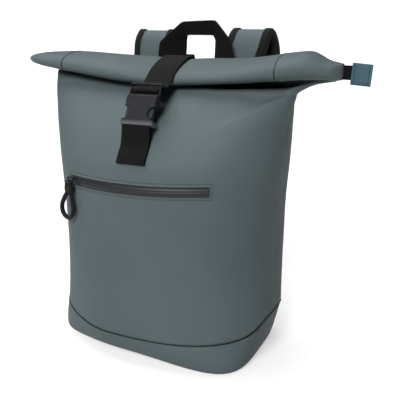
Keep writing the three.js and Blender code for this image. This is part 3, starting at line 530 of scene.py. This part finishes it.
rimX = np.arange(-240, 241, 3)
rimZ = np.array([min(rollUnder(x, -7) - 0.7, height + 2.5) for x in rimX])
rimBack = np.array([rollUnder(x, 7) + 1.5 for x in rimX])  # at the back the cloth runs on into the roll


@cache
def bodyRow(share):
    sizes = {"left": halfWidth, "right": halfWidth, "front": bodySet["front"], "back": bodySet["back"],
             "nf": 1, "nb": 1}
    return {key: size * column(bodySet["rows"], key, share) for key, size in sizes.items()}


def wallInset(share, key):  # the wall lies further in where it leans
    low, high = max(seamShare, share - 0.004), min(1.0, share + 0.004)
    lean = (bodyRow(high)[key] - bodyRow(low)[key]) / ((high - low) * height)
    return bodySet["wall"] * min(3 if key == "right" else 2.1, hypot(1, lean))


def foldRise(x, z):  # the ridges and dents of the "folds" table
    rise = 0.0
    for f in bodySet["folds"]:
        ax, az, bx, bz = f["x0"] * halfWidth, f["z0"] * height, f["x1"] * halfWidth, f["z1"] * height
        t = ((x - ax) * (bx - ax) + (z - az) * (bz - az)) / ((bx - ax) ** 2 + (bz - az) ** 2)
        near = min(1.0, max(0.0, t))
        off = hypot(x - mix(ax, bx, near), z - mix(az, bz, near))
        rise += f["rise"] * exp(-(off / f["wide"]) ** 2) * (1 - 0.7 * near)
    return rise


def seamRise(x):  # how far the seam climbs to the sides
    rise = seamSet["bow"] * baseHeight * (abs(x) / halfWidth) ** 3
    rise += seamSet["right" if x > 0 else "left"] * min(1, abs(x) / seamSet["at"]) ** seamSet["steep"]
    slope = seamSet["slope"]
    return rise + slope["rise"] * ease((-x - slope["from"]) / slope["over"])


def bodySpot(share, turn, inside=False):
    s = bodyRow(share)
    inset = {key: wallInset(share, key) if inside else 0 for key in ("left", "right", "front", "back")}
    c, q = cos(turn), sin(turn)
    n = s["nf"] if q < 0 else s["nb"]
    x = (s["left"] - inset["left"] if c < 0 else s["right"] - inset["right"]) * power(c, 2 / n)
    depth = s["front"] - inset["front"] if q < 0 else s["back"] - inset["back"]
    rim = mix(np.interp(x, rimX, rimZ), np.interp(x, rimX, rimBack), ease(0.5 + 0.5 * q))
    lift = (rim - height) * ease((share - 0.80) / 0.20)
    sag = seamRise(x) * (1 - ease((share - seamShare) / 0.25))
    fade = ease((1 - share) / 0.05) * ease((share - seamShare) / 0.06) if q < 0 else 0
    fold = fade * foldRise(x, share * height)
    return (x + fold * c, depth * power(q, 2 / n) + fold * q, share * height + lift + sag)


def clothY(x, z, side):  # the even face of the cloth, side -1 for the front
    s = bodyRow(round(z / height, 5))
    n, depth = (s["nf"], s["front"]) if side < 0 else (s["nb"], s["back"])
    half = s["left"] if x < 0 else s["right"]
    return side * depth * (1 - min(0.999, abs(x) / half) ** n) ** (1 / n)


def clothOut(x, z, side):  # which way that face looks
    dx = (clothY(x + 1, z, side) - clothY(x - 1, z, side)) / 2
    dz = (clothY(x, z + 1, side) - clothY(x, z - 1, side)) / 2
    return np.array(Vector((-dx, 1, -dz)).normalized() * side)


def creaseRise(x, z):
    c = bodySet["crease"]
    (ax, az), (bx, bz) = c["from"], c["to"]
    length = hypot(bx - ax, bz - az)
    along = ((x - ax) * (bx - ax) + (z - az) * (bz - az)) / length
    off = ((x - ax) * (bz - az) - (z - az) * (bx - ax)) / length  # positive below the crease
    ends = (max(0, along - length) / c["past"]) ** 2 + (max(0, -along) / c["before"]) ** 2
    fade = (1 - 0.6 * ease(along / length)) * exp(-ends)
    if off < 0:
        return fade * c["crest"] * exp(off / c["above"])
    drop = (c["crest"] + c["groove"]) * (1 - exp(-off / c["drop"]))
    return fade * (c["crest"] - drop) * exp(-(off / c["below"]) ** 2)


def foldDepth(x, z):  # the cloth turns in sharply under the roll
    line, deep = column(bodySet["fold"], "z", x), column(bodySet["fold"], "deep", x)
    return deep * ease((z - line) / 3.5) - 0.09 * deep * exp(-((z - line + 3) / 3) ** 2)


def clothRelief(x, y, z):  # how the filled cloth stands off its even shape, in mm
    calm, even = 1.0, bodySet["even"]
    if y < 0:
        calm -= 0.9 * exp(-(x / even["half"]) ** 2) * ease((z - even["from"]) / even["over"])
        if abs(x) < even["zipHalf"]:
            calm *= 1 - 0.8 * exp(-((z - even["zip"]) / even["zipHigh"]) ** 2)
    broad = 1.1 * waves(x + 40, y, 0.8 * z, 105) + 0.35 * waves(x, y + 70, z, 42)
    nearSeam = exp(-abs(z - baseHeight - seamRise(x)) / 9)
    gathers = 0.45 * waves(1.6 * x, 1.6 * y, 0.25 * z, 17) * nearSeam
    neck = ease((z - 285) / 60)
    pleats = 0.9 * waves(x, 0.2 * y, 0.35 * z + 30, 21) * neck * (1 - ease((z - 335) / 22))
    sharp = creaseRise(x, z) - foldDepth(x, z) if y < 4 else 0
    return calm * (broad * (1 - 0.8 * neck) * (1 - 0.7 * nearSeam) + gathers + pleats) + sharp


def turnIn(ring):
    return [(x * seamSet["edge"], y * seamSet["edge"], z) for x, y, z in ring]


def bodyCloth():
    levels = bodySet["levels"]
    shares = [mix(seamShare, 1, 1 - (1 - i / levels) ** 1.25) for i in range(levels + 1)]
    outer = [[bodySpot(share, turn) for turn in bodyTurns] for share in shares]
    outer[0] = turnIn(outer[0])
    inner = [[bodySpot(share, turn, True) for turn in bodyTurns] for share in reversed(shares[::5])]
    piece = skin("bag_body_cloth", outer + inner, bagCloth, closed=True)
    pushOut(piece, clothRelief, 0, len(outer) * len(bodyTurns))
    pushOut(piece, lambda x, y, z: -clothRelief(x, y, z), len(outer) * len(bodyTurns))
    return piece


place(bodyCloth(), ["bag_body"], "cloth")
print("body made")

# Panel under the bag

baseSet = {
    "rows": table(
        "z left right front back nl nr skew",
        (0.0, 1.01, 0.832, 0.7, 0.815, 4.8, 4.7, -0.135),
        (0.02, 1.042, 0.87, 0.745, 0.865, 4.8, 4.7, -0.135),
        (0.09, 1.055, 0.896, 0.785, 0.915, 4.5, 4.5, -0.13),
        (0.25, 1.045, 0.918, 0.865, 0.955, 3.8, 3.8, -0.1),
        (0.55, 1.025, 0.95, 0.945, 0.985, 3.1, 3.1, -0.05),
        (0.988, 1.0, 1.0, 1.0, 1.0, 2.55, 2.55, 0),
    ),
    "levels": 34,
    "top": 0.988,  # where the panel ends, just under the seam
    "inside": (0.988, 0.8, 0.55, 0.35, 0.22, 0.12, 0.06),  # heights of the inner face
    "ground": 2.2,  # thickness of the bottom
    "stitchBelow": 4.0,  # the top stitching runs this far under the seam
    "thread": {"radius": 0.62, "out": 0.2, "down": 0.25, "deep": 110},  # the dark line in the seam
}


def baseSpot(share, turn, inset=0.0, level=None):
    s = bodyRow(seamShare)
    row = {key: column(baseSet["rows"], key, share) for key in list(baseSet["rows"][0])[1:]}
    c, q = cos(turn), sin(turn)
    n = (row["nl"] if c < 0 else row["nr"]) if q < 0 else s["nb"]
    depth = (s["front"] * row["front"] if q < 0 else s["back"] * row["back"]) - inset
    x = ((s["left"] * row["left"] if c < 0 else s["right"] * row["right"]) - inset) * power(c, 2 / n)
    askew = row["skew"] * x * abs(q) ** 0.5 if q < 0 else 0
    z = share * baseHeight if level is None else level
    return (x, depth * power(q, 2 / n) + askew, z + seamRise(x) * ease(z / baseHeight))


def basePanel():
    shares = [baseSet["top"] * (i / baseSet["levels"]) ** 1.7 for i in range(baseSet["levels"] + 1)]
    outside = [[baseSpot(share, turn) for turn in bodyTurns] for share in shares]
    outside[-1] = turnIn(outside[-1])
    inside = []
    for share in baseSet["inside"]:
        level = max(share * baseHeight, baseSet["ground"])
        inside.append([baseSpot(share, turn, bodySet["wall"], level) for turn in bodyTurns])
    piece = skin("base_panel_cloth", outside + inside, bagCloth)

    def relief(x, y, z):
        grip = ease(z / 10)  # flat where it stands on the table
        seam = exp(-abs(z - baseSet["top"] * baseHeight - seamRise(x)) / 8)
        return grip * (0.5 * waves(x, y, z, 60) + 0.35 * waves(1.6 * x, 1.6 * y, 0.3 * z, 17) * seam)

    pushOut(piece, relief, 0, len(outside) * len(bodyTurns))
    return piece


place(basePanel(), ["base_panel"], "cloth")


def seamLine():
    s = baseSet["thread"]
    rings = []
    for turn in circle(240):
        x, y, z = bodySpot(seamShare, turn)
        out = Vector((x / halfWidth ** 2, y / s["deep"] ** 2, 0)).normalized()
        ring = []
        for a in circle(8):
            r = s["out"] + s["radius"] * cos(a)
            ring.append((x + out.x * r, y + out.y * r, z - s["down"] - s["radius"] * sin(a)))
        rings.append(ring)
    return skin("base_seam_thread", rings, seamThread, closed=True)


place(seamLine())
baseStitchSpots = []
share = baseSet["top"] - baseSet["stitchBelow"] / baseHeight
for turn in circle(300):
    spot, above = np.array(baseSpot(share, turn)), np.array(baseSpot(share + 0.05, turn))
    aside = np.array(baseSpot(share, turn + 0.02))
    baseStitchSpots.append((spot, unit(np.cross(aside - spot, above - spot))))
place(stitches("base_top_stitching", baseStitchSpots, clothThread, closed=True))
print("base made")

# Rolled top


def rollRing(x):
    s = rollRow(x)
    grow = 0.0 if rollSet["seams"][0] <= x <= rollSet["seams"][1] else 0.5
    for seam in rollSet["seams"]:
        grow += -0.9 * exp(-((x - seam) / 0.9) ** 2)  # the seam pulls in
        grow += 0.5 * exp(-((abs(x - seam) - 3.5) / 2.6) ** 2)  # and the cloth puffs beside it
    ring = []
    steps = rollSet["steps"]
    for depth, order in ((0.0, range(steps + 1)), (rollSet["band"], range(steps, -1, -1))):
        for i in order:
            f = i / steps
            turn = pi * (1.36 - 2 * rollSet["turns"] * f)
            inset = s["thick"] * (rollSet["pitch"] * rollSet["turns"] * f + depth)
            skinDeep = 1 - ease(f * 2.4)  # only the outermost layer is uneven
            soft = 0.0
            if depth == 0:
                a, b = 60 * cos(turn), 60 * sin(turn)
                soft = (0.55 * waves(x, a, b, 46) + 0.3 * waves(x, 0.6 * a, 0.6 * b, 19)) * skinDeep
                drawn = exp(-((abs(x) - 26) / 13) ** 2)  # folds that the strap pulls beside itself
                soft += 0.6 * drawn * waves(0.7 * x, 1.8 * a, 1.8 * b, 16) * skinDeep
            lift = (grow * skinDeep + soft) * min(1.0, s["thick"] / 9)
            ring.append(rollSpot(x, turn, lift - inset))
    return ring


rollXs = [mix(-1, 1, i / rollSet["levels"]) * rollSet["half"] for i in range(rollSet["levels"] + 1)]
rollXs += [seam + d for seam in rollSet["seams"] for d in (-1.2, -0.6, 0.1, 0.7, 1.3)]
rings = [rollRing(x) for x in sorted(rollXs)]
place(skin("rolled_top_cloth", rings, bagCloth, sharp=70), ["rolled_top"], "cloth")


def rollSeamThread(seam):
    t = rollSet["thread"]
    spots = smooth(rollRing(seam)[:rollSet["steps"] // 2], 2)
    middle = np.array([seam, rollRow(seam)["y"], rollRow(seam)["z"]])
    rings = []
    for p in spots:
        out = unit(p - middle)
        rings.append([p + out * (t["lift"] + t["high"] * cos(a)) + np.array([t["wide"] * sin(a), 0, 0])
                      for a in circle(8)])
    return skin("roll_seam_left" if seam < 0 else "roll_seam_right", rings, seamThread)


for seam in rollSet["seams"]:
    place(rollSeamThread(seam))
print("roll made")

# Closure strap, anchor webbing and buckle

closureSet = {
    "width": 37.6, "thick": 1.5,
    # (y, z) from the back panel over the roll, through the ladder and back
    "path": [
        (78.4, 286.4), (77.1, 297.4), (73.8, 310.7), (32.5, 376.5), (29.9, 379.0), (25.8, 380.4),
        (20.2, 380.7), (13.4, 379.9), (5.6, 378.1), (-3.4, 375.1), (-13.1, 371.1), (-20.6, 367.3),
        (-26.6, 363.3), (-46.6, 348.2), (-55.9, 349.1), (-63.4, 347.9), (-67.4, 346.6), (-69.9, 347.1),
        (-72.0, 347.9), (-73.3, 347.4), (-74.4, 345.5), (-74.3, 344.2), (-72.6, 342.7), (-70.4, 341.6),
        (-66.9, 341.6), (-61.4, 343.0), (-55.6, 343.7), (-47.2, 343.3),
    ],
}
anchorSet = {
    "width": 38, "thick": 1.5,
    "path": [
        (-115.1, 263.8), (-108.6, 274.6), (-101.4, 285.3), (-97.9, 304.4), (-95.8, 308.0), (-94.0, 310.6),
        (-92.2, 311.1), (-89.5, 307.9), (-90.9, 305.0), (-93.4, 300.5), (-98.7, 285.3), (-106.7, 274.6),
        (-113.3, 263.8),
    ],
    "sewn": (266.5, 281.5), "sewnHalf": 15.5,  # heights and half the width of the box stitch
}
place(skin("closure_strap_webbing", levelStrap(closureSet), nylonWebbing), ["closure_strap"], "webbing")
place(skin("anchor_webbing_nylon", levelStrap(anchorSet), nylonWebbing), ["anchor_webbing"], "webbing")


def boxStitch():
    (low, high), half = anchorSet["sewn"], anchorSet["sewnHalf"]
    zs, ys = zip(*sorted((z, y) for y, z in smooth(anchorSet["path"], 5)[:16]))

    def spot(x, z):
        y = np.interp(z, zs, ys)
        slope = np.interp(z + 1, zs, ys) - y
        out = np.array([0, -1, slope]) / hypot(1, slope)
        return (np.array([x, y, z]) + out * 0.82, out)

    line = []
    corners = [(-half, low), (half, low), (half, high), (-half, high), (-half, low), (half, high),
               (half, low), (-half, high)]
    for a, b in zip(corners, corners[1:]):
        line += [spot(mix(a[0], b[0], k / 12), mix(a[1], b[1], k / 12)) for k in range(12)]
    return stitches("anchor_box_stitch", line, blackThread, pitch=3, length=2.2)


place(boxStitch())


def finishSolid(name, material):  # gives a node of the frame its material
    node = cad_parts[name]
    node.data.materials.clear()
    node.data.materials.append(material)
    return node


def dressHard(name, material, width):  # rounds the edges of a hard solid and gives its finish
    node = finishSolid(name, material)
    node.modifiers.new("join", "WELD").merge_threshold = 0.00002
    flat = node.modifiers.new("flat", "DECIMATE")
    flat.decimate_type = "DISSOLVE"
    flat.angle_limit = radians(2)
    edge = node.modifiers.new("edge", "BEVEL")
    edge.width, edge.segments, edge.limit_method = width / 1000, 3, "ANGLE"
    edge.angle_limit, edge.use_clamp_overlap, edge.harden_normals = radians(28), True, False
    node.modifiers.new("normals", "WEIGHTED_NORMAL").keep_sharp = True
    node.data.shade_smooth()


dressHard("buckle_socket", acetal, 0.45)
for name in ("buckle_plug", "strap_adjuster_left", "strap_adjuster_right"):
    dressHard(name, acetal, 0.4)
dressHard("zip_slider", sliderMetal, 0.25)
print("closure made")

# Pocket zipper

zipSet = {
    "z": 0.653 * height, "half": 95, "tape": 6.0,
    "rise": 2.4,  # how much higher the right end lies
    "lip": 1.7, "lipHigh": 0.6,  # width and fullness of the turned cloth edge round the tape
    "stitch": 3.4,  # from the tape's edge to the stitching
}


def frontSpot(x, z, lift=0.0):  # a point on the front of the bag and which way it faces
    z += zipSet["rise"] * ease(x / zipSet["half"])
    out = clothOut(x, z, -1)
    y = clothY(x, z, -1)
    return np.array([x, y, z]) + out * (lift + clothRelief(x, y, z)), out


def zipTape():
    side = [(1, -0.3), (0.99, 0.15), (0.75, 0.2), (0.5, 0.24), (0.36, 0.62), (0.2, 0.78), (0.07, 0.72)]
    profile = side + [(0, 0.4)] + [(-w, t) for w, t in side[::-1]]
    rings = []
    for x in np.linspace(-zipSet["half"], zipSet["half"], 121):
        rings.append([frontSpot(x, zipSet["z"] + w * zipSet["tape"], 0.7 + t)[0] for w, t in profile])
    return skin("pocket_zipper_tape", rings, zipFilm, sharp=60)


place(zipTape(), ["pocket_zipper"], "zip_tape")


def aroundZip(grow, corner):  # a closed way round the zipper, grow mm outside the tape
    a, b = zipSet["half"] + grow, zipSet["tape"] + grow
    way = []
    for right, up, start in ((1, -1, -90), (1, 1, 0), (-1, 1, 90), (-1, -1, 180)):
        cx, cz = right * (a - corner), up * (b - corner)
        for k in range(7):
            t = radians(start + 15 * k)
            way.append((cx + corner * cos(t), zipSet["z"] + cz + corner * sin(t)))
    full = []
    for p, q in zip(way, way[1:] + way[:1]):
        steps = max(1, int(hypot(q[0] - p[0], q[1] - p[1]) / 2.5))
        full += [(mix(p[0], q[0], k / steps), mix(p[1], q[1], k / steps)) for k in range(steps)]
    return full


def zipLip():  # turned edge of the cloth, a soft bead that catches the light
    inner = aroundZip(-0.2, 1.5)
    rings = []
    n = len(inner)
    for i, (x, z) in enumerate(inner):
        ahead, back = inner[(i + 1) % n], inner[i - 1]
        tx, tz = ahead[0] - back[0], ahead[1] - back[1]
        length = hypot(tx, tz)
        ox, oz = tz / length, -tx / length  # away from the zipper
        ring = []
        for w, t in ((0.5, -0.6), (1.05, 0.0), (0.9, 0.7), (0.6, 1.15), (0.25, 1.3), (0.06, 0.95), (0, 0.1)):
            out = w * zipSet["lip"]
            ring.append(frontSpot(x + ox * out, z + oz * out, t * zipSet["lipHigh"])[0])
        rings.append(ring)
    return skin("pocket_zipper_lip", rings, bagCloth, closed=True)


place(zipLip())
pocketSpots = [frontSpot(x, z, 0.1) for x, z in aroundZip(zipSet["stitch"], 2.0)]
place(stitches("pocket_stitching", pocketSpots, seamThread, pitch=3.2, length=2.0, thick=0.45, closed=True))
print("zipper made")

# Zip pull

pullSet = {
    "eye": (-92.0, -107.6, 234.1), "side": (0.93, -0.36, 0), "radius": 2.9,
    # the loop as (side, down); its two strands run close together through a collar
    "rows": [
        (3.1, 1), (3.2, 8), (3.2, 17), (5.0, 26), (6.2, 36), (3.4, 45), (-3.2, 50.0), (-10.8, 50.0),
        (-17.4, 45), (-18.4, 36), (-12.0, 25), (-4.4, 16), (-3.2, 8), (-3.1, 1),
    ],
    "collar": {"from": 7.0, "to": 16.0, "wide": 7.2, "deep": 3.9},
}


def pullSpot(side, down, out=0.0):  # mm to the side, down and out from the slider's eye
    s = np.array(Vector(pullSet["side"]).normalized())
    front = np.array([s[1], -s[0], 0])
    return np.array(pullSet["eye"]) + s * side + front * out + np.array([0, 0, -down])


pullPath = smooth([pullSpot(*row) for row in pullSet["rows"]], 8)
radius, across = pullSet["radius"], pullSpot(0, 0, 1) - pullSpot(0, 0)
aside = unit(np.cross(unit(np.gradient(pullPath, axis=0)), across))
rings = [[p + radius * (b * cos(a) + across * sin(a)) for a in circle(14)] for p, b in zip(pullPath, aside)]
pull = place(skin("zip_pull_cord", rings, braidedCord), ["zip_pull"], "webbing")


def pullCollar():  # moulded sleeve that holds the strands together
    c = pullSet["collar"]
    rings = []
    for f, size in ((0, 0.72), (0, 0.9), (0.06, 1), (0.5, 1.04), (0.94, 1), (1, 0.9), (1, 0.72)):
        down, wide, deep = mix(c["from"], c["to"], f), c["wide"] * size, c["deep"] * size
        rings.append([pullSpot(wide * power(cos(a), 0.5), down, deep * power(sin(a), 0.7))
                      for a in circle(28, 0.5)])
    return skin("zip_pull_collar", rings, braidedCord)


place(pullCollar())
print("pull made")

# Carry handle

handleSet = {
    # both edges of the webbing: up from the back panel, folded over at the corners, double along the grip
    "rows": table(
        "innerX innerY innerZ outerX outerY outerZ thick",
        (-20, 76.3, 299, -58, 76.3, 299, 1.5),
        (-20, 76.3, 331, -58, 76.3, 331, 1.5),
        (-22, 88, 358, -57.5, 74.7, 358, 1.5),
        (-21.5, 93, 388, -59, 77, 381, 1.5),
        (-21.5, 94, 399, -57.5, 79, 396, 1.8),
        (-20.5, 93.5, 404.5, -28, 90, 423.4, 3.4),
        (-17, 92.5, 405.3, -22, 91.8, 424, 3.6),
        (17, 92.5, 405.3, 17, 91.8, 425.6, 3.6),
        (20, 93.5, 404.5, 22.5, 90, 425.4, 3.4),
        (21.5, 94, 399, 50, 80, 399, 1.8),
        (21.5, 93, 388, 54, 77, 384, 1.5),
        (22, 88, 358, 56, 74.7, 358, 1.5),
        (20, 76.3, 331, 58, 76.3, 331, 1.5),
        (20, 76.3, 299, 58, 76.3, 299, 1.5),
    ),
}
padSet = {
    "width": 55, "thick": 11, "top": {-1: 411, 1: 413.5}, "spread": 8,
    "rows": table(
        "x lean back z half thick",
        (0.38, 0.15, 1.0, 0.879, 1, 0.8),
        (0.385, 0.104, 1.418, 1.0, 1, 1),
        (0.41, 0.056, 1.818, 1.532, 1, 1),
        (0.443, 0.026, 2.182, 1.798, 1, 1),
        (0.456, 0.004, 2.636, 1.942, 1, 1),
        (0.465, 0, 3.273, 2.0, 1, 1),
        (0.475, 0, 3.909, 1.942, 1, 1),
        (0.49, 0, 4.364, 1.787, 1, 1),
        (0.505, 0, 4.455, 1.559, 1, 1),
        (0.53, 0, 4.364, 0.989, 1, 1),
        (0.56, 0, 3.818, 0.821, 1, 1),
        (0.59, 0, 3.0, 0.653, 0.96, 1),
        (0.605, 0, 2.636, 0.526, 0.88, 0.9),
        (0.61, 0, 2.455, 0.453, 0.74, 0.75),
    ),
    "bindDeep": 8.5, "bindThick": 1.1, "bindGap": 1.1,
    "stitchIn": 6.3, "stitchUp": 1.25,  # the stitching from the pad's edge, and off its face
    "steps": 9,  # sections between two rows
}
shoulderLine = 0.95 * height
panelAt = (1.026 * 38, 0.835 * height)
panelY = clothY(*panelAt, 1) + 0.6 + 1.5 / 2  # middle of a webbing that lies 0.6 mm off the back panel


def standing(share, top):  # heights of a strap: 1 is the shoulder line, 2 its top
    return share * shoulderLine if share < 1 else mix(shoulderLine, top, share - 1)


def carryHandle():
    rows = np.array([list(r.values()) for r in handleSet["rows"]])
    inner, outer = rows[:, 0:3], rows[:, 3:6]
    line = bent(np.hstack([(inner + outer) / 2, (inner - outer) / 2, rows[:, 6:]]), 1.1)
    half = np.linalg.norm(line[:, 3:6], axis=1)
    return skin("carry_handle_webbing", strapRings(line[:, :3], line[:, 3:6], half, line[:, 6]), nylonWebbing)


place(carryHandle(), ["carry_handle"], "webbing")
print("handle made")

# Shoulder straps


def padLine(side):
    rows, thick = [], padSet["thick"]
    for r in padSet["rows"]:
        out = r["x"] * halfWidth if side > 0 else (r["x"] + r["lean"]) * halfWidth + padSet["spread"]
        up = standing(r["z"], padSet["top"][side] - thick / 2)
        half = r["half"] * padSet["width"] / 2
        rows.append([side * out, panelY + r["back"] * thick, up, half, r["thick"] * thick])
    return smooth(rows, padSet["steps"])


def padFrame(line):
    run = unit(np.gradient(line[:, :3], axis=0))
    wide = unit(np.array([1.0, 0, 0]) - run * run[:, :1])
    return wide, np.cross(run, wide)


def shoulderPad(side, word):
    line = padLine(side)
    wide, out = padFrame(line)
    profile = []
    for a in circle(36, 0.5):
        w = power(cos(a), 0.35)
        crown = 0.36 + 0.14 * (1 - w * w) ** 0.5  # fullest in the middle, thin where it is bound
        profile.append((w, crown * power(sin(a), 0.45)))
    rings = []
    for i, row in enumerate(line):
        ring = []
        for w, t in profile:
            soft = 0.35 * waves(row[0] + w * 20, row[1], row[2], 24) * (1 - w * w)
            ring.append(row[:3] + wide[i] * w * row[3] + out[i] * (t * row[4] + copysign(soft, t)))
        rings.append(ring)
    piece = skin(f"shoulder_strap_{word}_pad", rings, strapCloth)
    piece.data.materials.append(spacerMesh)
    n = len(profile)
    for face in piece.data.polygons:  # the side that lies on the shoulder is mesh
        if len(face.vertices) == 4 and (face.index % n) < n / 2:
            face.material_index = 1
    return piece


def binding(name, line, wide, out, edge):  # tape folded round one edge of a pad
    deep, tape, gap = padSet["bindDeep"], padSet["bindThick"], padSet["bindGap"]
    rings = []
    for i, row in enumerate(line):
        h, e, low = row[4] / 2, row[3] + gap, row[3] - deep
        front = [(low, h), (e - 1.8, h), (e, 0.36 * h)]  # inside of the fold
        rear = [(w, -t) for w, t in front[::-1]]
        cover = [(e + tape, 0.4 * h), (e + 0.5, 0.78 * h), (e - 1.5, h + tape * 0.9),
                 (mix(low, e, 0.5), h + tape + 0.1), (low, h + tape)]
        under = [(w, -t) for w, t in cover[::-1]]
        pucker = 0.25 * waves(row[0], row[1], row[2] + 90 * edge, 5)
        ring = []
        for w, t in under + cover + front + rear:
            loose = copysign(pucker, t) if abs(t) > h else 0
            ring.append(row[:3] + wide[i] * edge * w + out[i] * (t + loose))
        rings.append(ring if edge > 0 else ring[::-1])
    return skin(name, rings, grosgrainTape, sharp=60)


for side, word in ((-1, "left"), (1, "right")):
    pad = place(shoulderPad(side, word), [f"shoulder_strap_{word}"], "strap_face")
    line = padLine(side)[padSet["steps"]:-padSet["steps"]]
    wide, out = padFrame(line)
    for edge, where in ((side, "outer"), (-side, "inner")):
        name = f"strap_binding_{word}_{where}"
        place(binding(name + "_tape", line, wide, out, edge), [name], "webbing")
        for face, end in ((1, "front"), (-1, "rear")):
            rows = []
            for i, row in enumerate(line):
                up = out[i] * face * (row[4] / 2 + padSet["stitchUp"])
                rows.append((row[:3] + wide[i] * edge * (row[3] - padSet["stitchIn"]) + up, out[i] * face))
            place(stitches(f"strap_stitching_{word}_{where}_{end}", rows, blackThread))
print("shoulder straps made")

# Webbing at the foot of the straps

for name in ("lower_webbing_left", "lock_webbing_left", "lower_webbing_right", "lock_webbing_right"):
    finishSolid(name, nylonWebbing)

# Webbing and tab at the end of the roll

endSet = {
    "webbing": {"from": 214, "to": 238, "half": 8.3, "thick": 1.6, "z": 368.4},
    "tab": {"from": 229.2, "to": 252.4, "half": 12.6, "thick": 2.9, "z": 366.2, "turn": -4,
            "sewn": (0.14, 0.86)},
}


def tabSpot(along, up, out):
    t = endSet["tab"]
    a = radians(t["turn"])
    x, z = (along - 0.5) * (t["to"] - t["from"]), up * t["half"]
    middle = (t["from"] + t["to"]) / 2
    return np.array([middle + x * cos(a) - z * sin(a), out, t["z"] + x * sin(a) + z * cos(a)])


def endTab():  # cloth folded over the webbing, open at the top and bottom, raw edges a little wavy
    t = endSet["tab"]
    rings = []
    for i in range(33):
        along = i / 32
        pinch = 1 - sum(0.28 * exp(-((along - sewn) / 0.05) ** 2) for sewn in t["sewn"])
        pinch *= 0.55 + 0.45 * sin(pi * min(1, 12 * min(along, 1 - along)) / 2)
        ring = []
        for w, h in flatProfile:
            edge = 1 + 0.018 * waves(along * 30, w * 4, 3, 3) if abs(w) > 0.9 else 1
            lift = t["thick"] * pinch * (1 + 0.1 * waves(along * 24, w * 12, 9, 8))
            ring.append(tabSpot(along, w * edge, h * lift))
        rings.append(ring)
    return skin("roll_end_tab_cloth", rings, tabCloth, sharp=60)


short = endSet["webbing"]
at = [(mix(short["from"], short["to"], i / 12), 0, short["z"] - 0.4 * sin(i / 4)) for i in range(13)]
rings = strapRings(at, [(0, 0, 1)] * 13, short["half"], short["thick"])
place(skin("roll_end_webbing_nylon", rings, nylonWebbing), ["roll_end_webbing"], "webbing")
place(endTab(), ["roll_end_tab"], "tab_cloth")
for along in endSet["tab"]["sewn"]:
    for side in (-1, 1):
        rows = [(tabSpot(along, mix(-0.93, 0.93, i / 20), side * 1.25), np.array([0, side, 0]))
                for i in range(21)]
        word = ("inner" if along < 0.5 else "outer") + ("_front" if side < 0 else "_rear")
        place(stitches(f"tab_stitching_{word}", rows, seamThread, pitch=2.6, length=1.9, thick=0.5))
print("end tab made")

# Floor, light and the air around

lightSet = {
    "key": {"from": (0.02, -1.0, 0.78), "power": 4.4, "angle": 26},
    "top": {"from": (-0.35, 0.12, 1.0), "power": 3.9, "angle": 50},
    "air": 0.06,  # light from all around, apart from the white wall behind
    "table": 0.54,  # the white table is lit from below as well
    # the lit white wall: where it stands, how high it reaches and how far it goes to the sides
    "wall": {"at": (-0.40, 0.917, 0), "high": (0.03, 0.2), "wide": (0.86, 0.93)},
}
floorHalf = 12  # metres
floorMesh = bpy.data.meshes.new("floor")
floorCorners = [(x * floorHalf, y * floorHalf, -0.0004) for x, y in ((-1, -1), (1, -1), (1, 1), (-1, 1))]
floorMesh.from_pydata(floorCorners, [], [(0, 1, 2, 3)])
floor = bpy.data.objects.new("floor", floorMesh)
floorPaint, _, floorShader = startMaterial("white acrylic table", "#a0a0a0", 0.9, 0.05)
floorShader.inputs["Emission Color"].default_value = (1, 1, 1, 1)
floorShader.inputs["Emission Strength"].default_value = lightSet["table"]
floorMesh.materials.append(floorPaint)
link(floor)
for name in ("key", "top"):
    data = bpy.data.lights.new(name, "SUN")
    data.angle, data.energy = radians(lightSet[name]["angle"]), lightSet[name]["power"]
    lamp = bpy.data.objects.new(name, data)
    lamp.location = lightSet[name]["from"]
    lamp.rotation_euler = (-lamp.location).to_track_quat("-Z", "Y").to_euler()
    link(lamp)
world = bpy.data.worlds.new("air")
world.use_nodes = True
sky = world.node_tree
wall = lightSet["wall"]
way = addNode(sky, "ShaderNodeTexCoord").outputs["Generated"]
up = addNode(sky, "ShaderNodeSeparateXYZ", None, {0: way}).outputs[2]
aim = addNode(sky, "ShaderNodeVectorMath", {"operation": "DOT_PRODUCT", 1: wall["at"]}, {0: way}).outputs[1]
below, behind = remap(sky, up, 1.0, 0.0, *wall["high"]), remap(sky, aim, 0.0, 1.0, *wall["wide"])
glow = calc(sky, "ADD", calc(sky, "MULTIPLY", below, behind), lightSet["air"])
sky.nodes["Background"].inputs[0].default_value = (1, 1, 1, 1)
sky.links.new(glow, sky.nodes["Background"].inputs[1])
bpy.context.scene.world = world
bpy.context.scene.view_settings.view_transform = "Standard"
print("stage and light made")
